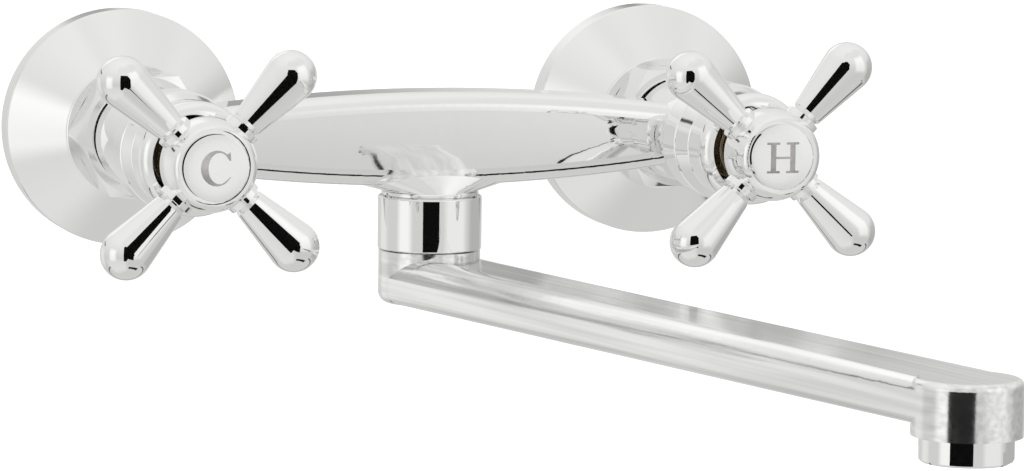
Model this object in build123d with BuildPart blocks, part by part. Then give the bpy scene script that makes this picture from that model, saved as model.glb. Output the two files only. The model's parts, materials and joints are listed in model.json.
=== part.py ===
from build123d import *
import math
import os

os.makedirs("parts", exist_ok=True)

# Two-handle kitchen faucet for a wall with two water outlets, in millimetres.
# Frame: +X to the right, +Y into the wall, +Z up.
# Origin: on the finished wall, midway between the two outlets.
# A depth is a distance out from the wall. A level is a height above the handle axes.

# Fits
thread_gap = 0.05
running_gap = 0.05
loose_gap = 0.3
face_gap = 0.1
edge_break = 0.25
same_radius = 0.001

# Wall outlets and eccentric unions
outlet_spacing = 150.0
union_drop = 8.0
wall_thread_radius = 10.48
wall_thread_length = 18.0
wall_bore_radius = 7.0
union_bend_start = 3.0
union_bend_length = 6.0
union_thread_radius = 13.22
union_bore_radius = 9.3

# Rosettes
rosette_radius = 32.0
rosette_rim_depth = 8.7
rosette_cone_depth = 11.6
rosette_collar_radius = 18.3
rosette_collar_length = 1.4
rosette_wall = 1.0
rosette_rounding = 0.6
rosette_hub_wall = 2.0
rosette_hub_length = 6.3

# Union nuts, gaskets and nipples
union_nut_flats = 32.0
union_nut_length = 14.0
union_nut_lip = 1.95
union_nut_chamfer = 1.3
nipple_flange_gap = 0.5
nipple_flange_length = 2.4
nipple_radius = 10.3
nipple_bore_radius = 6.0
nipple_key_flats = 13.0
nipple_key_length = 7.0
nipple_thread_length = 6.4
gasket_length = 2.0
gasket_bore_radius = 8.5

# Body casting
tail_gap = 2.0
spigot_length = 28.0
spigot_rear_radius = 14.0
spigot_chamfer = 0.4
spigot_front_radius = 13.7
chamber_length = 11.0
chamber_radius = 15.8
chamber_rounding = 1.9
band_length = 7.4
band_rear_radius = 15.5
band_front_radius = 14.5
neck_setback = 11.0
bar_half_depth = 10.8
bar_bulge = 1.0
bar_corner = 5.2
bar_top_middle = 12.8
bar_top_end = 9.1
bar_bottom_middle = 12.3
bar_bottom_end = 8.2
bar_end_inset = 13.0
bar_end_setback = 5.0
neck_radius = 12.6
neck_ovality = 0.05
neck_length = 14.2
neck_flare_top = 7.0
neck_flare_half_width = 39.0
neck_flare_half_depth = 10.3
neck_ring_radius = 13.1
neck_ring_height = 1.1
neck_ring_chamfer = 0.3
neck_thread_radius = 11.9
neck_thread_length = 9.0
neck_bore_radius = 9.25

# Waterways in the body
waterway_radius = 6.0
waterway_offset = 2.5
inlet_duct_radius = 7.0
return_inner_radius = 9.8
return_outer_radius = 12.2
return_sweep = 110.0
seat_step = 0.5
seat_hole_radius = 5.6
seat_hole_length = 2.0
valve_bore_radius = 11.4
valve_bore_length = 12.3

# Ceramic headworks
headwork_thread_radius = 10.4
headwork_hex_flats = 22.0
headwork_hex_length = 5.0
headwork_neck_radius = 9.0
headwork_neck_length = 6.6
cage_radius = 9.6
cage_bore_radius = 8.45
cage_recess = 0.8
seal_length = 2.6
seal_bore_radius = 5.4
disc_length = 2.6
disc_film = 0.02
fixed_disc_radius = 8.4
turning_disc_radius = 8.2
port_inner_radius = 2.2
port_outer_radius = 6.2
port_sweep = 70.0
window_sweep = 80.0
window_length = 2.4
leg_inner_radius = 2.5
leg_outer_radius = 7.6
leg_sweep = 50.0
leg_slack = 2.0
leg_engagement = 1.7
leg_clearance = 2.7
flange_radius = 7.9
flange_length = 2.0
stop_inner_radius = 6.6
stop_sweep = 30.0
stop_slack = 2.0
quarter_turn = 90.0
stem_radius = 5.0
oring_section = 1.1
oring_groove_play = 0.15
oring_pitch = 4.0
clip_groove_radius = 4.2
clip_radius = 6.6
clip_length = 1.0
clip_opening = 50.0
spline_outer_radius = 4.0
spline_inner_radius = 3.6
spline_teeth = 20
spline_length = 12.6
collar_oring_section = 1.4
collar_oring_recess = 1.5
collar_oring_groove_radius = 10.0

# Bells
bell_length = 12.9
bell_rear_radius = 14.5
bell_belly_radius = 14.75
bell_lip_radius = 11.9
bell_lip_length = 4.5
bell_bore_radius = 13.0
bell_mouth_radius = 10.7
bell_mouth_length = 2.5
bell_web_length = 3.4
bell_seat_gap = 0.2

# Cross handles
handle_gap = 5.5
hub_length = 14.4
hub_radius = 12.2
hub_rear_radius = 11.1
hub_rim_radius = 10.0
hub_belly_length = 5.0
hub_rounding = 2.4
hub_relief_radius = 8.0
hub_relief_length = 1.5
hub_web_length = 1.1
arm_setback = 5.6
arm_count = 4
arm_reach = 30.5
arm_tip_radius = 6.6
arm_taper = 9.0
arm_root = 14.4
arm_neck_radius = 3.3
arm_neck_start = 13.4
arm_boss_radius = 4.7
arm_boss_end = 12.9
left_rest_angle = 46.3
right_rest_angle = 47.5
cap_radius = 8.45
cap_length = 1.5
cap_crown = 0.45
cap_recess_radius = 9.5
cap_recess_length = 1.8
cap_skirt_radius = 7.1
cap_skirt_wall = 1.1
cap_skirt_length = 2.0
screw_radius = 2.0
screw_head_radius = 3.9
screw_head_length = 2.3
screw_key_flats = 3.0
screw_key_length = 1.5
screw_length = 10.0
screw_head_rounding = 0.6
screw_hole_spare = 1.0

# Swivel nut and its rings
spout_nut_radius = 13.96
spout_nut_height = 14.3
spout_nut_lip = 2.6
spout_nut_rounding = 0.4
nut_shoulder_gap = 0.2
slip_ring_height = 1.0
split_ring_height = 1.7
split_ring_radius = 11.55
split_ring_opening = 6.0
tail_radius = 9.2
tail_height = 13.6
tail_bore_radius = 6.2
tail_groove_radius = 8.2
tail_oring_section = 1.6
tail_oring_pitch = 3.2
tail_oring_setback = 2.1

# Spout
swivel_gap = 0.3
spout_reach = 250.0
spout_rest_angle = 12.45
spout_wall = 2.2
elbow_radius = 13.7
elbow_height = 14.3
elbow_rounding = 2.8
elbow_arm_half_width = 13.55
elbow_arm_lift = 0.15
elbow_arm_drop = 1.4
elbow_arm_shoulder = 5.6
elbow_arm_flat = 11.0
head_radius = 12.6
head_height = 12.9
head_rounding = 1.6
head_drop = 0.7
head_arm_half_width = 12.5
head_arm_height = 10.4
head_arm_shoulder = 4.6
head_arm_flat = 20.0
shoulder_bulge = 0.69

# Aerator
aerator_thread_radius = 10.9
aerator_radius = 10.75
aerator_height = 5.85
aerator_thread_height = 6.4
aerator_wall = 1.7
aerator_lip_height = 1.6
aerator_lip_width = 0.7
aerator_flats = 19.6
aerator_turn = 37.4
aerator_flat_height = 3.3
aerator_chamfer = 0.5
washer_height = 1.4
washer_width = 2.6
insert_gap = 0.1
insert_wall = 1.2
insert_floor = 1.2
grille_pitch = 2.5
grille_hole = 1.8
grille_across = 6

# Stations out from the wall
axis_z = -union_drop
rosette_face = rosette_rim_depth + rosette_cone_depth + rosette_collar_length
nipple_flange_radius = union_thread_radius - nipple_flange_gap
union_nut_rear = rosette_face + loose_gap
union_nut_front = union_nut_rear + union_nut_length
nipple_flange_front = union_nut_front - union_nut_lip
nipple_flange_rear = nipple_flange_front - nipple_flange_length
union_face = nipple_flange_rear - gasket_length
spigot_rear = union_nut_front + tail_gap
neck_depth = spigot_rear + neck_setback
chamber_rear = spigot_rear + spigot_length
chamber_front = chamber_rear + chamber_length
band_front = chamber_front + band_length
nipple_front = spigot_rear + nipple_thread_length
waterway_depth = neck_depth + waterway_offset
seat_face = chamber_rear + seat_step
valve_bore_front = seat_face + valve_bore_length
fixed_disc_rear = seat_face + seal_length
turning_disc_rear = fixed_disc_rear + disc_length + disc_film
turning_disc_front = turning_disc_rear + disc_length
flange_rear = turning_disc_front + leg_clearance
flange_front = flange_rear + flange_length
cage_front = flange_front + face_gap
headwork_hex_front = band_front + headwork_hex_length
headwork_front = headwork_hex_front + headwork_neck_length
clip_rear = headwork_front + face_gap
clip_front = clip_rear + clip_length
bell_rear = band_front + bell_seat_gap
bell_front = bell_rear + bell_length
hub_rear = bell_front + handle_gap
hub_front = hub_rear + hub_length
arm_depth = hub_rear + arm_setback
cap_seat = hub_front - cap_recess_length
screw_seat = cap_seat - screw_head_length - loose_gap
spindle_front = screw_seat - hub_web_length
spline_rear = spindle_front - spline_length

# Levels below the handle axes
neck_ring_bottom = -neck_length - neck_ring_height
neck_bottom = neck_ring_bottom - neck_thread_length
spout_nut_top = neck_ring_bottom - nut_shoulder_gap
spout_nut_bottom = spout_nut_top - spout_nut_height
slip_ring_bottom = neck_bottom - slip_ring_height
split_ring_top = slip_ring_bottom - face_gap
split_ring_bottom = split_ring_top - split_ring_height
elbow_top = spout_nut_bottom - swivel_gap
elbow_bottom = elbow_top - elbow_height
tail_top = elbow_top + tail_height
head_top = elbow_top - head_drop
head_bottom = head_top - head_height
aerator_bottom = head_bottom - aerator_height
aerator_top = head_bottom + aerator_thread_height
washer_top = aerator_top + washer_height

# Directions of the spout as it rests
rest = math.radians(spout_rest_angle)
along_spout = Vector(math.sin(rest), -math.cos(rest), 0)
across_spout = Vector(math.cos(rest), math.sin(rest), 0)
swivel_origin = Vector(0, -neck_depth, axis_z)
outlet_origin = swivel_origin + along_spout * spout_reach
swivel_axis = Axis(swivel_origin, (0, 0, 1))
outlet_axis = Axis(outlet_origin, (0, 0, 1))
swivel_plane = Plane(origin=swivel_origin, x_dir=(1, 0, 0), z_dir=(0, -1, 0))
outlet_plane = Plane(origin=outlet_origin, x_dir=across_spout, z_dir=along_spout)


def turning_plane(axis_x):
    """Plane through a handle's axis: x is the depth and y the radius."""
    return Plane(origin=(axis_x, 0, axis_z), x_dir=(0, -1, 0), z_dir=(0, 0, 1))


def turning_axis(axis_x):
    """A handle's axis, pointing out from the wall."""
    return Axis((axis_x, 0, axis_z), (0, -1, 0))


def facing_plane(axis_x, depth, level=0.0):
    """Plane parallel to the wall, seen from the room: x is right and y is up."""
    return Plane(origin=(axis_x, -depth, axis_z + level), x_dir=(1, 0, 0), z_dir=(0, -1, 0))


def spout_plane(distance):
    """Plane across the spout at a distance from its swivel axis: x is right and y is up."""
    return Plane(origin=swivel_origin + along_spout * distance, x_dir=across_spout, z_dir=along_spout)


def level_plane(origin, level):
    """Horizontal plane with its x along the spout."""
    return Plane(origin=origin + Vector(0, 0, level), x_dir=along_spout, z_dir=(0, 0, 1))


def turned_outline(plane, *points):
    """Closed straight-sided outline, ready to be revolved."""
    with BuildSketch(plane) as outline:
        with BuildLine():
            Polyline(*points, close=True)
        make_face()
    return outline.sketch


def ring_sector(plane, inner, outer, middle, sweep):
    """Piece of a ring about the plane's origin, for ports, legs and stops."""
    with BuildSketch(plane) as sector:
        with BuildLine():
            root = CenterArc((0, 0), inner, middle - sweep / 2, sweep)
            rim = CenterArc((0, 0), outer, middle - sweep / 2, sweep)
            Line(root @ 0, rim @ 0)
            Line(root @ 1, rim @ 1)
        make_face()
    return sector.sketch


def oring(plane, depth, inner, section):
    """Round section of an O-ring that sits on a radius at a depth."""
    with BuildSketch(plane) as ring:
        with Locations((depth, inner + section / 2)):
            Circle(section / 2)
    return ring.sketch


def spline_outline(plane, gap):
    """Toothed outline shared by a spindle and its handle."""
    points = []
    for tooth in range(2 * spline_teeth):
        radius = spline_outer_radius if tooth % 2 == 0 else spline_inner_radius
        angle = math.pi * tooth / spline_teeth
        points.append(((radius + gap) * math.cos(angle), (radius + gap) * math.sin(angle)))
    with BuildSketch(plane) as outline:
        with BuildLine():
            Polyline(*points, close=True)
        make_face()
    return outline.sketch


def bar_section(x):
    """Rounded section of the body's bar, lower towards its ends."""
    share = (x / (outlet_spacing / 2 - bar_end_inset)) ** 2
    top = axis_z + bar_top_middle - (bar_top_middle - bar_top_end) * share
    bottom = axis_z - bar_bottom_middle + (bar_bottom_middle - bar_bottom_end) * share
    rear = -neck_depth + bar_half_depth
    front = -neck_depth - bar_half_depth
    with BuildSketch(Plane.YZ.offset(x)) as section:
        with BuildLine():
            Polyline((front, bottom), (rear, bottom), (rear, top), (front, top))
            ThreePointArc((front, top), (front - bar_bulge, (top + bottom) / 2), (front, bottom))
        make_face()
        fillet(section.vertices(), bar_corner)
    return section.sketch


def arm_section(distance, half_width, top, bottom, shoulder, flat, inset=0.0):
    """Section of the spout's arm: upright sides, curved shoulders and a flat top."""
    half = half_width - inset
    flat_half = flat / 2 - inset / 2
    top_level = top - inset
    side_level = top - shoulder
    bottom_level = bottom + inset
    bulge_x = flat_half + (half - flat_half) * shoulder_bulge
    bulge_y = side_level + (top_level - side_level) * shoulder_bulge
    with BuildSketch(spout_plane(distance)) as section:
        with BuildLine():
            Polyline((-half, side_level), (-half, bottom_level), (half, bottom_level), (half, side_level))
            ThreePointArc((half, side_level), (bulge_x, bulge_y), (flat_half, top_level))
            Line((flat_half, top_level), (-flat_half, top_level))
            ThreePointArc((-flat_half, top_level), (-bulge_x, bulge_y), (-half, side_level))
        make_face()
        fillet(section.vertices().group_by(Axis.Y)[0], elbow_rounding - inset)
    return section.sketch


def arm_ends(inset=0.0):
    """Sections of the arm at the swivel axis and at the outlet axis."""
    elbow_arm_top = elbow_top - elbow_arm_drop
    elbow_arm_bottom = elbow_bottom + elbow_arm_lift
    head_arm_bottom = head_top - head_arm_height
    return [
        arm_section(0, elbow_arm_half_width, elbow_arm_top, elbow_arm_bottom,
                    elbow_arm_shoulder, elbow_arm_flat, inset),
        arm_section(spout_reach, head_arm_half_width, head_top, head_arm_bottom,
                    head_arm_shoulder, head_arm_flat, inset),
    ]


def save(piece, name):
    """Label a finished piece and write it out under the same name."""
    piece.part.label = name
    export_step(piece.part, f"parts/{name}.step")


# Body casting: two inlet spigots with valve chambers, the bar between them and the spout neck
with BuildPart() as body_casting:
    for side in (-1, 1):
        axis_x = side * outlet_spacing / 2
        with BuildSketch(turning_plane(axis_x)):
            with BuildLine():
                spigot_outline = Polyline(
                    (chamber_rear, 0),
                    (spigot_rear, 0),
                    (spigot_rear, spigot_rear_radius - spigot_chamfer),
                    (spigot_rear + spigot_chamfer, spigot_rear_radius),
                    (chamber_rear, spigot_front_radius),
                )
                shoulder_end = (chamber_rear + chamber_rounding, chamber_radius)
                RadiusArc(spigot_outline @ 1, shoulder_end, chamber_radius - spigot_front_radius)
                Polyline(
                    shoulder_end,
                    (chamber_front - edge_break, chamber_radius),
                    (chamber_front, band_rear_radius),
                    (band_front - edge_break, band_front_radius),
                    (band_front, band_front_radius - edge_break),
                    (band_front, 0),
                    (chamber_rear, 0),
                )
            make_face()
        revolve(axis=turning_axis(axis_x))

    bar_reach = outlet_spacing / 2 - bar_end_setback
    loft([bar_section(x) for x in (-bar_reach, 0, bar_reach)])

    # The neck narrows from a long oval inside the bar to the round ring above the swivel nut
    with BuildSketch(Plane(origin=swivel_origin + Vector(0, 0, -neck_flare_top))):
        Ellipse(neck_flare_half_width, neck_flare_half_depth)
    with BuildSketch(Plane(origin=swivel_origin + Vector(0, 0, -neck_length))):
        Ellipse(neck_radius, neck_radius - neck_ovality)
    loft()
    revolve(
        turned_outline(
            swivel_plane,
            (0, -neck_length),
            (neck_ring_radius - neck_ring_chamfer, -neck_length),
            (neck_ring_radius, -neck_length - neck_ring_chamfer),
            (neck_ring_radius, neck_ring_bottom + neck_ring_chamfer),
            (neck_ring_radius - neck_ring_chamfer, neck_ring_bottom),
            (neck_thread_radius, neck_ring_bottom),
            (neck_thread_radius, neck_bottom),
            (0, neck_bottom),
        ),
        axis=swivel_axis,
    )

    # Waterways
    for side in (-1, 1):
        axis_x = side * outlet_spacing / 2
        revolve(
            turned_outline(
                turning_plane(axis_x),
                (spigot_rear, 0),
                (spigot_rear, nipple_radius + thread_gap),
                (nipple_front, nipple_radius + thread_gap),
                (nipple_front, inlet_duct_radius),
                (seat_face - seat_hole_length, inlet_duct_radius),
                (seat_face - seat_hole_length, seat_hole_radius),
                (seat_face, seat_hole_radius),
                (seat_face, valve_bore_radius),
                (valve_bore_front, valve_bore_radius),
                (valve_bore_front, headwork_thread_radius + thread_gap),
                (band_front - collar_oring_recess, headwork_thread_radius + thread_gap),
                (band_front - collar_oring_recess, valve_bore_radius + thread_gap),
                (band_front, valve_bore_radius + thread_gap),
                (band_front, 0),
            ),
            axis=turning_axis(axis_x),
            mode=Mode.SUBTRACT,
        )
        return_rear = waterway_depth - waterway_radius
        towards_middle = 90 + 90 * side
        extrude(
            ring_sector(
                facing_plane(axis_x, return_rear),
                return_inner_radius,
                return_outer_radius,
                towards_middle,
                return_sweep,
            ),
            amount=seat_face - return_rear,
            mode=Mode.SUBTRACT,
        )
    waterway_end = outlet_spacing / 2 - return_inner_radius
    with BuildSketch(Plane.YZ.offset(-waterway_end)):
        with Locations((-waterway_depth, axis_z)):
            Circle(waterway_radius)
    extrude(amount=2 * waterway_end, mode=Mode.SUBTRACT)
    revolve(
        turned_outline(
            swivel_plane,
            (0, 0),
            (waterway_radius, 0),
            (waterway_radius, tail_top + loose_gap),
            (neck_bore_radius, tail_top + loose_gap),
            (neck_bore_radius, neck_bottom),
            (0, neck_bottom),
        ),
        axis=swivel_axis,
        mode=Mode.SUBTRACT,
    )
save(body_casting, "body_casting")


# Wall connections, one set for each outlet
for side, name in ((-1, "left"), (1, "right")):
    axis_x = side * outlet_spacing / 2
    bend_end = union_bend_start + union_bend_length

    with BuildPart() as s_union:
        with BuildSketch(facing_plane(axis_x, -wall_thread_length, union_drop)):
            Circle(wall_thread_radius)
        extrude(amount=wall_thread_length + union_bend_start)
        with BuildSketch(facing_plane(axis_x, union_bend_start, union_drop)):
            Circle(wall_thread_radius)
        with BuildSketch(facing_plane(axis_x, bend_end)):
            Circle(union_thread_radius)
        loft()
        with BuildSketch(facing_plane(axis_x, bend_end)):
            Circle(union_thread_radius)
        extrude(amount=union_face - bend_end)
        with BuildSketch(facing_plane(axis_x, -wall_thread_length, union_drop)):
            Circle(wall_bore_radius)
        extrude(amount=wall_thread_length + union_bend_start, mode=Mode.SUBTRACT)
        with BuildSketch(facing_plane(axis_x, union_bend_start, union_drop)):
            Circle(wall_bore_radius)
        with BuildSketch(facing_plane(axis_x, bend_end)):
            Circle(union_bore_radius)
        loft(mode=Mode.SUBTRACT)
        with BuildSketch(facing_plane(axis_x, bend_end)):
            Circle(union_bore_radius)
        extrude(amount=union_face - bend_end, mode=Mode.SUBTRACT)
    save(s_union, f"s_union_{name}")

    with BuildPart() as rosette:
        cone_end = rosette_rim_depth + rosette_cone_depth
        hub_bore = union_thread_radius + thread_gap
        revolve(
            turned_outline(
                turning_plane(axis_x),
                (0, rosette_radius),
                (rosette_rim_depth, rosette_radius),
                (cone_end, rosette_collar_radius),
                (rosette_face - edge_break, rosette_collar_radius),
                (rosette_face, rosette_collar_radius - edge_break),
                (rosette_face, hub_bore),
                (cone_end - rosette_hub_length, hub_bore),
                (cone_end - rosette_hub_length, hub_bore + rosette_hub_wall),
                (cone_end - rosette_wall, hub_bore + rosette_hub_wall),
                (cone_end - rosette_wall, rosette_collar_radius - rosette_wall),
                (rosette_rim_depth - rosette_wall / 2, rosette_radius - rosette_wall),
                (0, rosette_radius - rosette_wall),
            ),
            axis=turning_axis(axis_x),
        )
        rim_edges = rosette.edges().filter_by(GeomType.CIRCLE).filter_by(
            lambda edge: abs(edge.radius - rosette_radius) < same_radius
        )
        fillet(rim_edges, rosette_rounding)
    save(rosette, f"rosette_{name}")

    with BuildPart() as union_nut:
        with BuildSketch(facing_plane(axis_x, union_nut_rear)):
            RegularPolygon(union_nut_flats / 2, 6, major_radius=False)
        extrude(amount=union_nut_length)
        corner_radius = union_nut_flats / math.sqrt(3)
        face_radius = union_nut_flats / 2
        revolve(
            turned_outline(
                turning_plane(axis_x),
                (union_nut_rear, 0),
                (union_nut_rear, face_radius),
                (union_nut_rear + union_nut_chamfer, corner_radius),
                (union_nut_front - union_nut_chamfer, corner_radius),
                (union_nut_front, face_radius),
                (union_nut_front, 0),
            ),
            axis=turning_axis(axis_x),
            mode=Mode.INTERSECT,
        )
        revolve(
            turned_outline(
                turning_plane(axis_x),
                (union_nut_rear, 0),
                (union_nut_rear, union_thread_radius + thread_gap),
                (nipple_flange_front, union_thread_radius + thread_gap),
                (nipple_flange_front, nipple_radius + loose_gap),
                (union_nut_front, nipple_radius + loose_gap),
                (union_nut_front, 0),
            ),
            axis=turning_axis(axis_x),
            mode=Mode.SUBTRACT,
        )
    save(union_nut, f"union_nut_{name}")

    with BuildPart() as inlet_gasket:
        with BuildSketch(facing_plane(axis_x, union_face)):
            Circle(nipple_flange_radius)
            Circle(gasket_bore_radius, mode=Mode.SUBTRACT)
        extrude(amount=gasket_length)
    save(inlet_gasket, f"inlet_gasket_{name}")

    with BuildPart() as inlet_nipple:
        with BuildSketch(facing_plane(axis_x, nipple_flange_rear)):
            Circle(nipple_flange_radius)
        extrude(amount=nipple_flange_length)
        with BuildSketch(facing_plane(axis_x, nipple_flange_front)):
            Circle(nipple_radius)
        extrude(amount=nipple_front - nipple_flange_front)
        with BuildSketch(facing_plane(axis_x, nipple_flange_rear)):
            Circle(nipple_bore_radius)
        extrude(amount=nipple_front - nipple_flange_rear, mode=Mode.SUBTRACT)
        with BuildSketch(facing_plane(axis_x, nipple_flange_rear)):
            RegularPolygon(nipple_key_flats / 2, 6, major_radius=False)
        extrude(amount=nipple_key_length, mode=Mode.SUBTRACT)
    save(inlet_nipple, f"inlet_nipple_{name}")


# Ceramic headworks and bells, which stay still while the handle turns
stop_angle = 90.0
stem_bore_radius = stem_radius + running_gap
for side, name in ((-1, "left"), (1, "right")):
    axis_x = side * outlet_spacing / 2

    with BuildPart() as seat_seal:
        with BuildSketch(facing_plane(axis_x, seat_face)):
            Circle(cage_bore_radius - face_gap)
            Circle(seal_bore_radius, mode=Mode.SUBTRACT)
        extrude(amount=seal_length)
    save(seat_seal, f"seat_seal_{name}")

    with BuildPart() as fixed_disc:
        with BuildSketch(facing_plane(axis_x, fixed_disc_rear)):
            Circle(fixed_disc_radius)
        extrude(amount=disc_length)
        for port_angle in (0, 180):
            port = ring_sector(
                facing_plane(axis_x, fixed_disc_rear),
                port_inner_radius, port_outer_radius, port_angle, port_sweep,
            )
            extrude(port, amount=disc_length, mode=Mode.SUBTRACT)
    save(fixed_disc, f"fixed_disc_{name}")

    with BuildPart() as headwork_body:
        revolve(
            turned_outline(
                turning_plane(axis_x),
                (seat_face + cage_recess, cage_bore_radius),
                (seat_face + cage_recess, cage_radius),
                (valve_bore_front + face_gap, cage_radius),
                (valve_bore_front + face_gap, headwork_thread_radius),
                (band_front - collar_oring_recess, headwork_thread_radius),
                (band_front - collar_oring_recess, collar_oring_groove_radius),
                (band_front, collar_oring_groove_radius),
                (headwork_hex_front, collar_oring_groove_radius),
                (headwork_hex_front, headwork_neck_radius),
                (headwork_front, headwork_neck_radius),
                (headwork_front, stem_bore_radius),
                (cage_front, stem_bore_radius),
                (cage_front, cage_bore_radius),
            ),
            axis=turning_axis(axis_x),
        )
        with BuildSketch(facing_plane(axis_x, band_front)):
            RegularPolygon(headwork_hex_flats / 2, 6, major_radius=False)
            Circle(collar_oring_groove_radius - thread_gap, mode=Mode.SUBTRACT)
        extrude(amount=headwork_hex_length)
        for window_angle in (0, 180):
            window = ring_sector(
                facing_plane(axis_x, turning_disc_front + face_gap),
                cage_bore_radius - loose_gap, cage_radius + loose_gap, window_angle, window_sweep,
            )
            extrude(window, amount=window_length, mode=Mode.SUBTRACT)
        stop_rib = ring_sector(
            facing_plane(axis_x, flange_rear),
            stop_inner_radius, cage_bore_radius + thread_gap, stop_angle, stop_sweep,
        )
        extrude(stop_rib, amount=cage_front - flange_rear)
    save(headwork_body, f"headwork_body_{name}")

    with BuildPart() as headwork_oring:
        ring_depth = band_front - collar_oring_recess / 2
        revolve(
            oring(turning_plane(axis_x), ring_depth, collar_oring_groove_radius, collar_oring_section),
            axis=turning_axis(axis_x),
        )
    save(headwork_oring, f"headwork_oring_{name}")

    with BuildPart() as bell:
        belly_depth = bell_front - bell_lip_length
        web_front = bell_front - bell_mouth_length
        web_rear = web_front - bell_web_length
        mouth_bend = math.sin(math.radians(45))
        with BuildSketch(turning_plane(axis_x)):
            with BuildLine():
                Line((bell_rear + edge_break, bell_rear_radius), (belly_depth, bell_belly_radius))
                ThreePointArc(
                    (belly_depth, bell_belly_radius),
                    (
                        belly_depth + bell_lip_length * mouth_bend,
                        bell_lip_radius + (bell_belly_radius - bell_lip_radius) * mouth_bend,
                    ),
                    (bell_front, bell_lip_radius),
                )
                Polyline(
                    (bell_front, bell_lip_radius),
                    (bell_front, bell_mouth_radius),
                    (web_front, bell_mouth_radius),
                    (web_front, headwork_neck_radius + thread_gap),
                    (web_rear, headwork_neck_radius + thread_gap),
                    (web_rear, bell_bore_radius),
                    (bell_rear, bell_bore_radius),
                    (bell_rear, bell_rear_radius - edge_break),
                    (bell_rear + edge_break, bell_rear_radius),
                )
            make_face()
        revolve(axis=turning_axis(axis_x))
    save(bell, f"bell_{name}")


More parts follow.
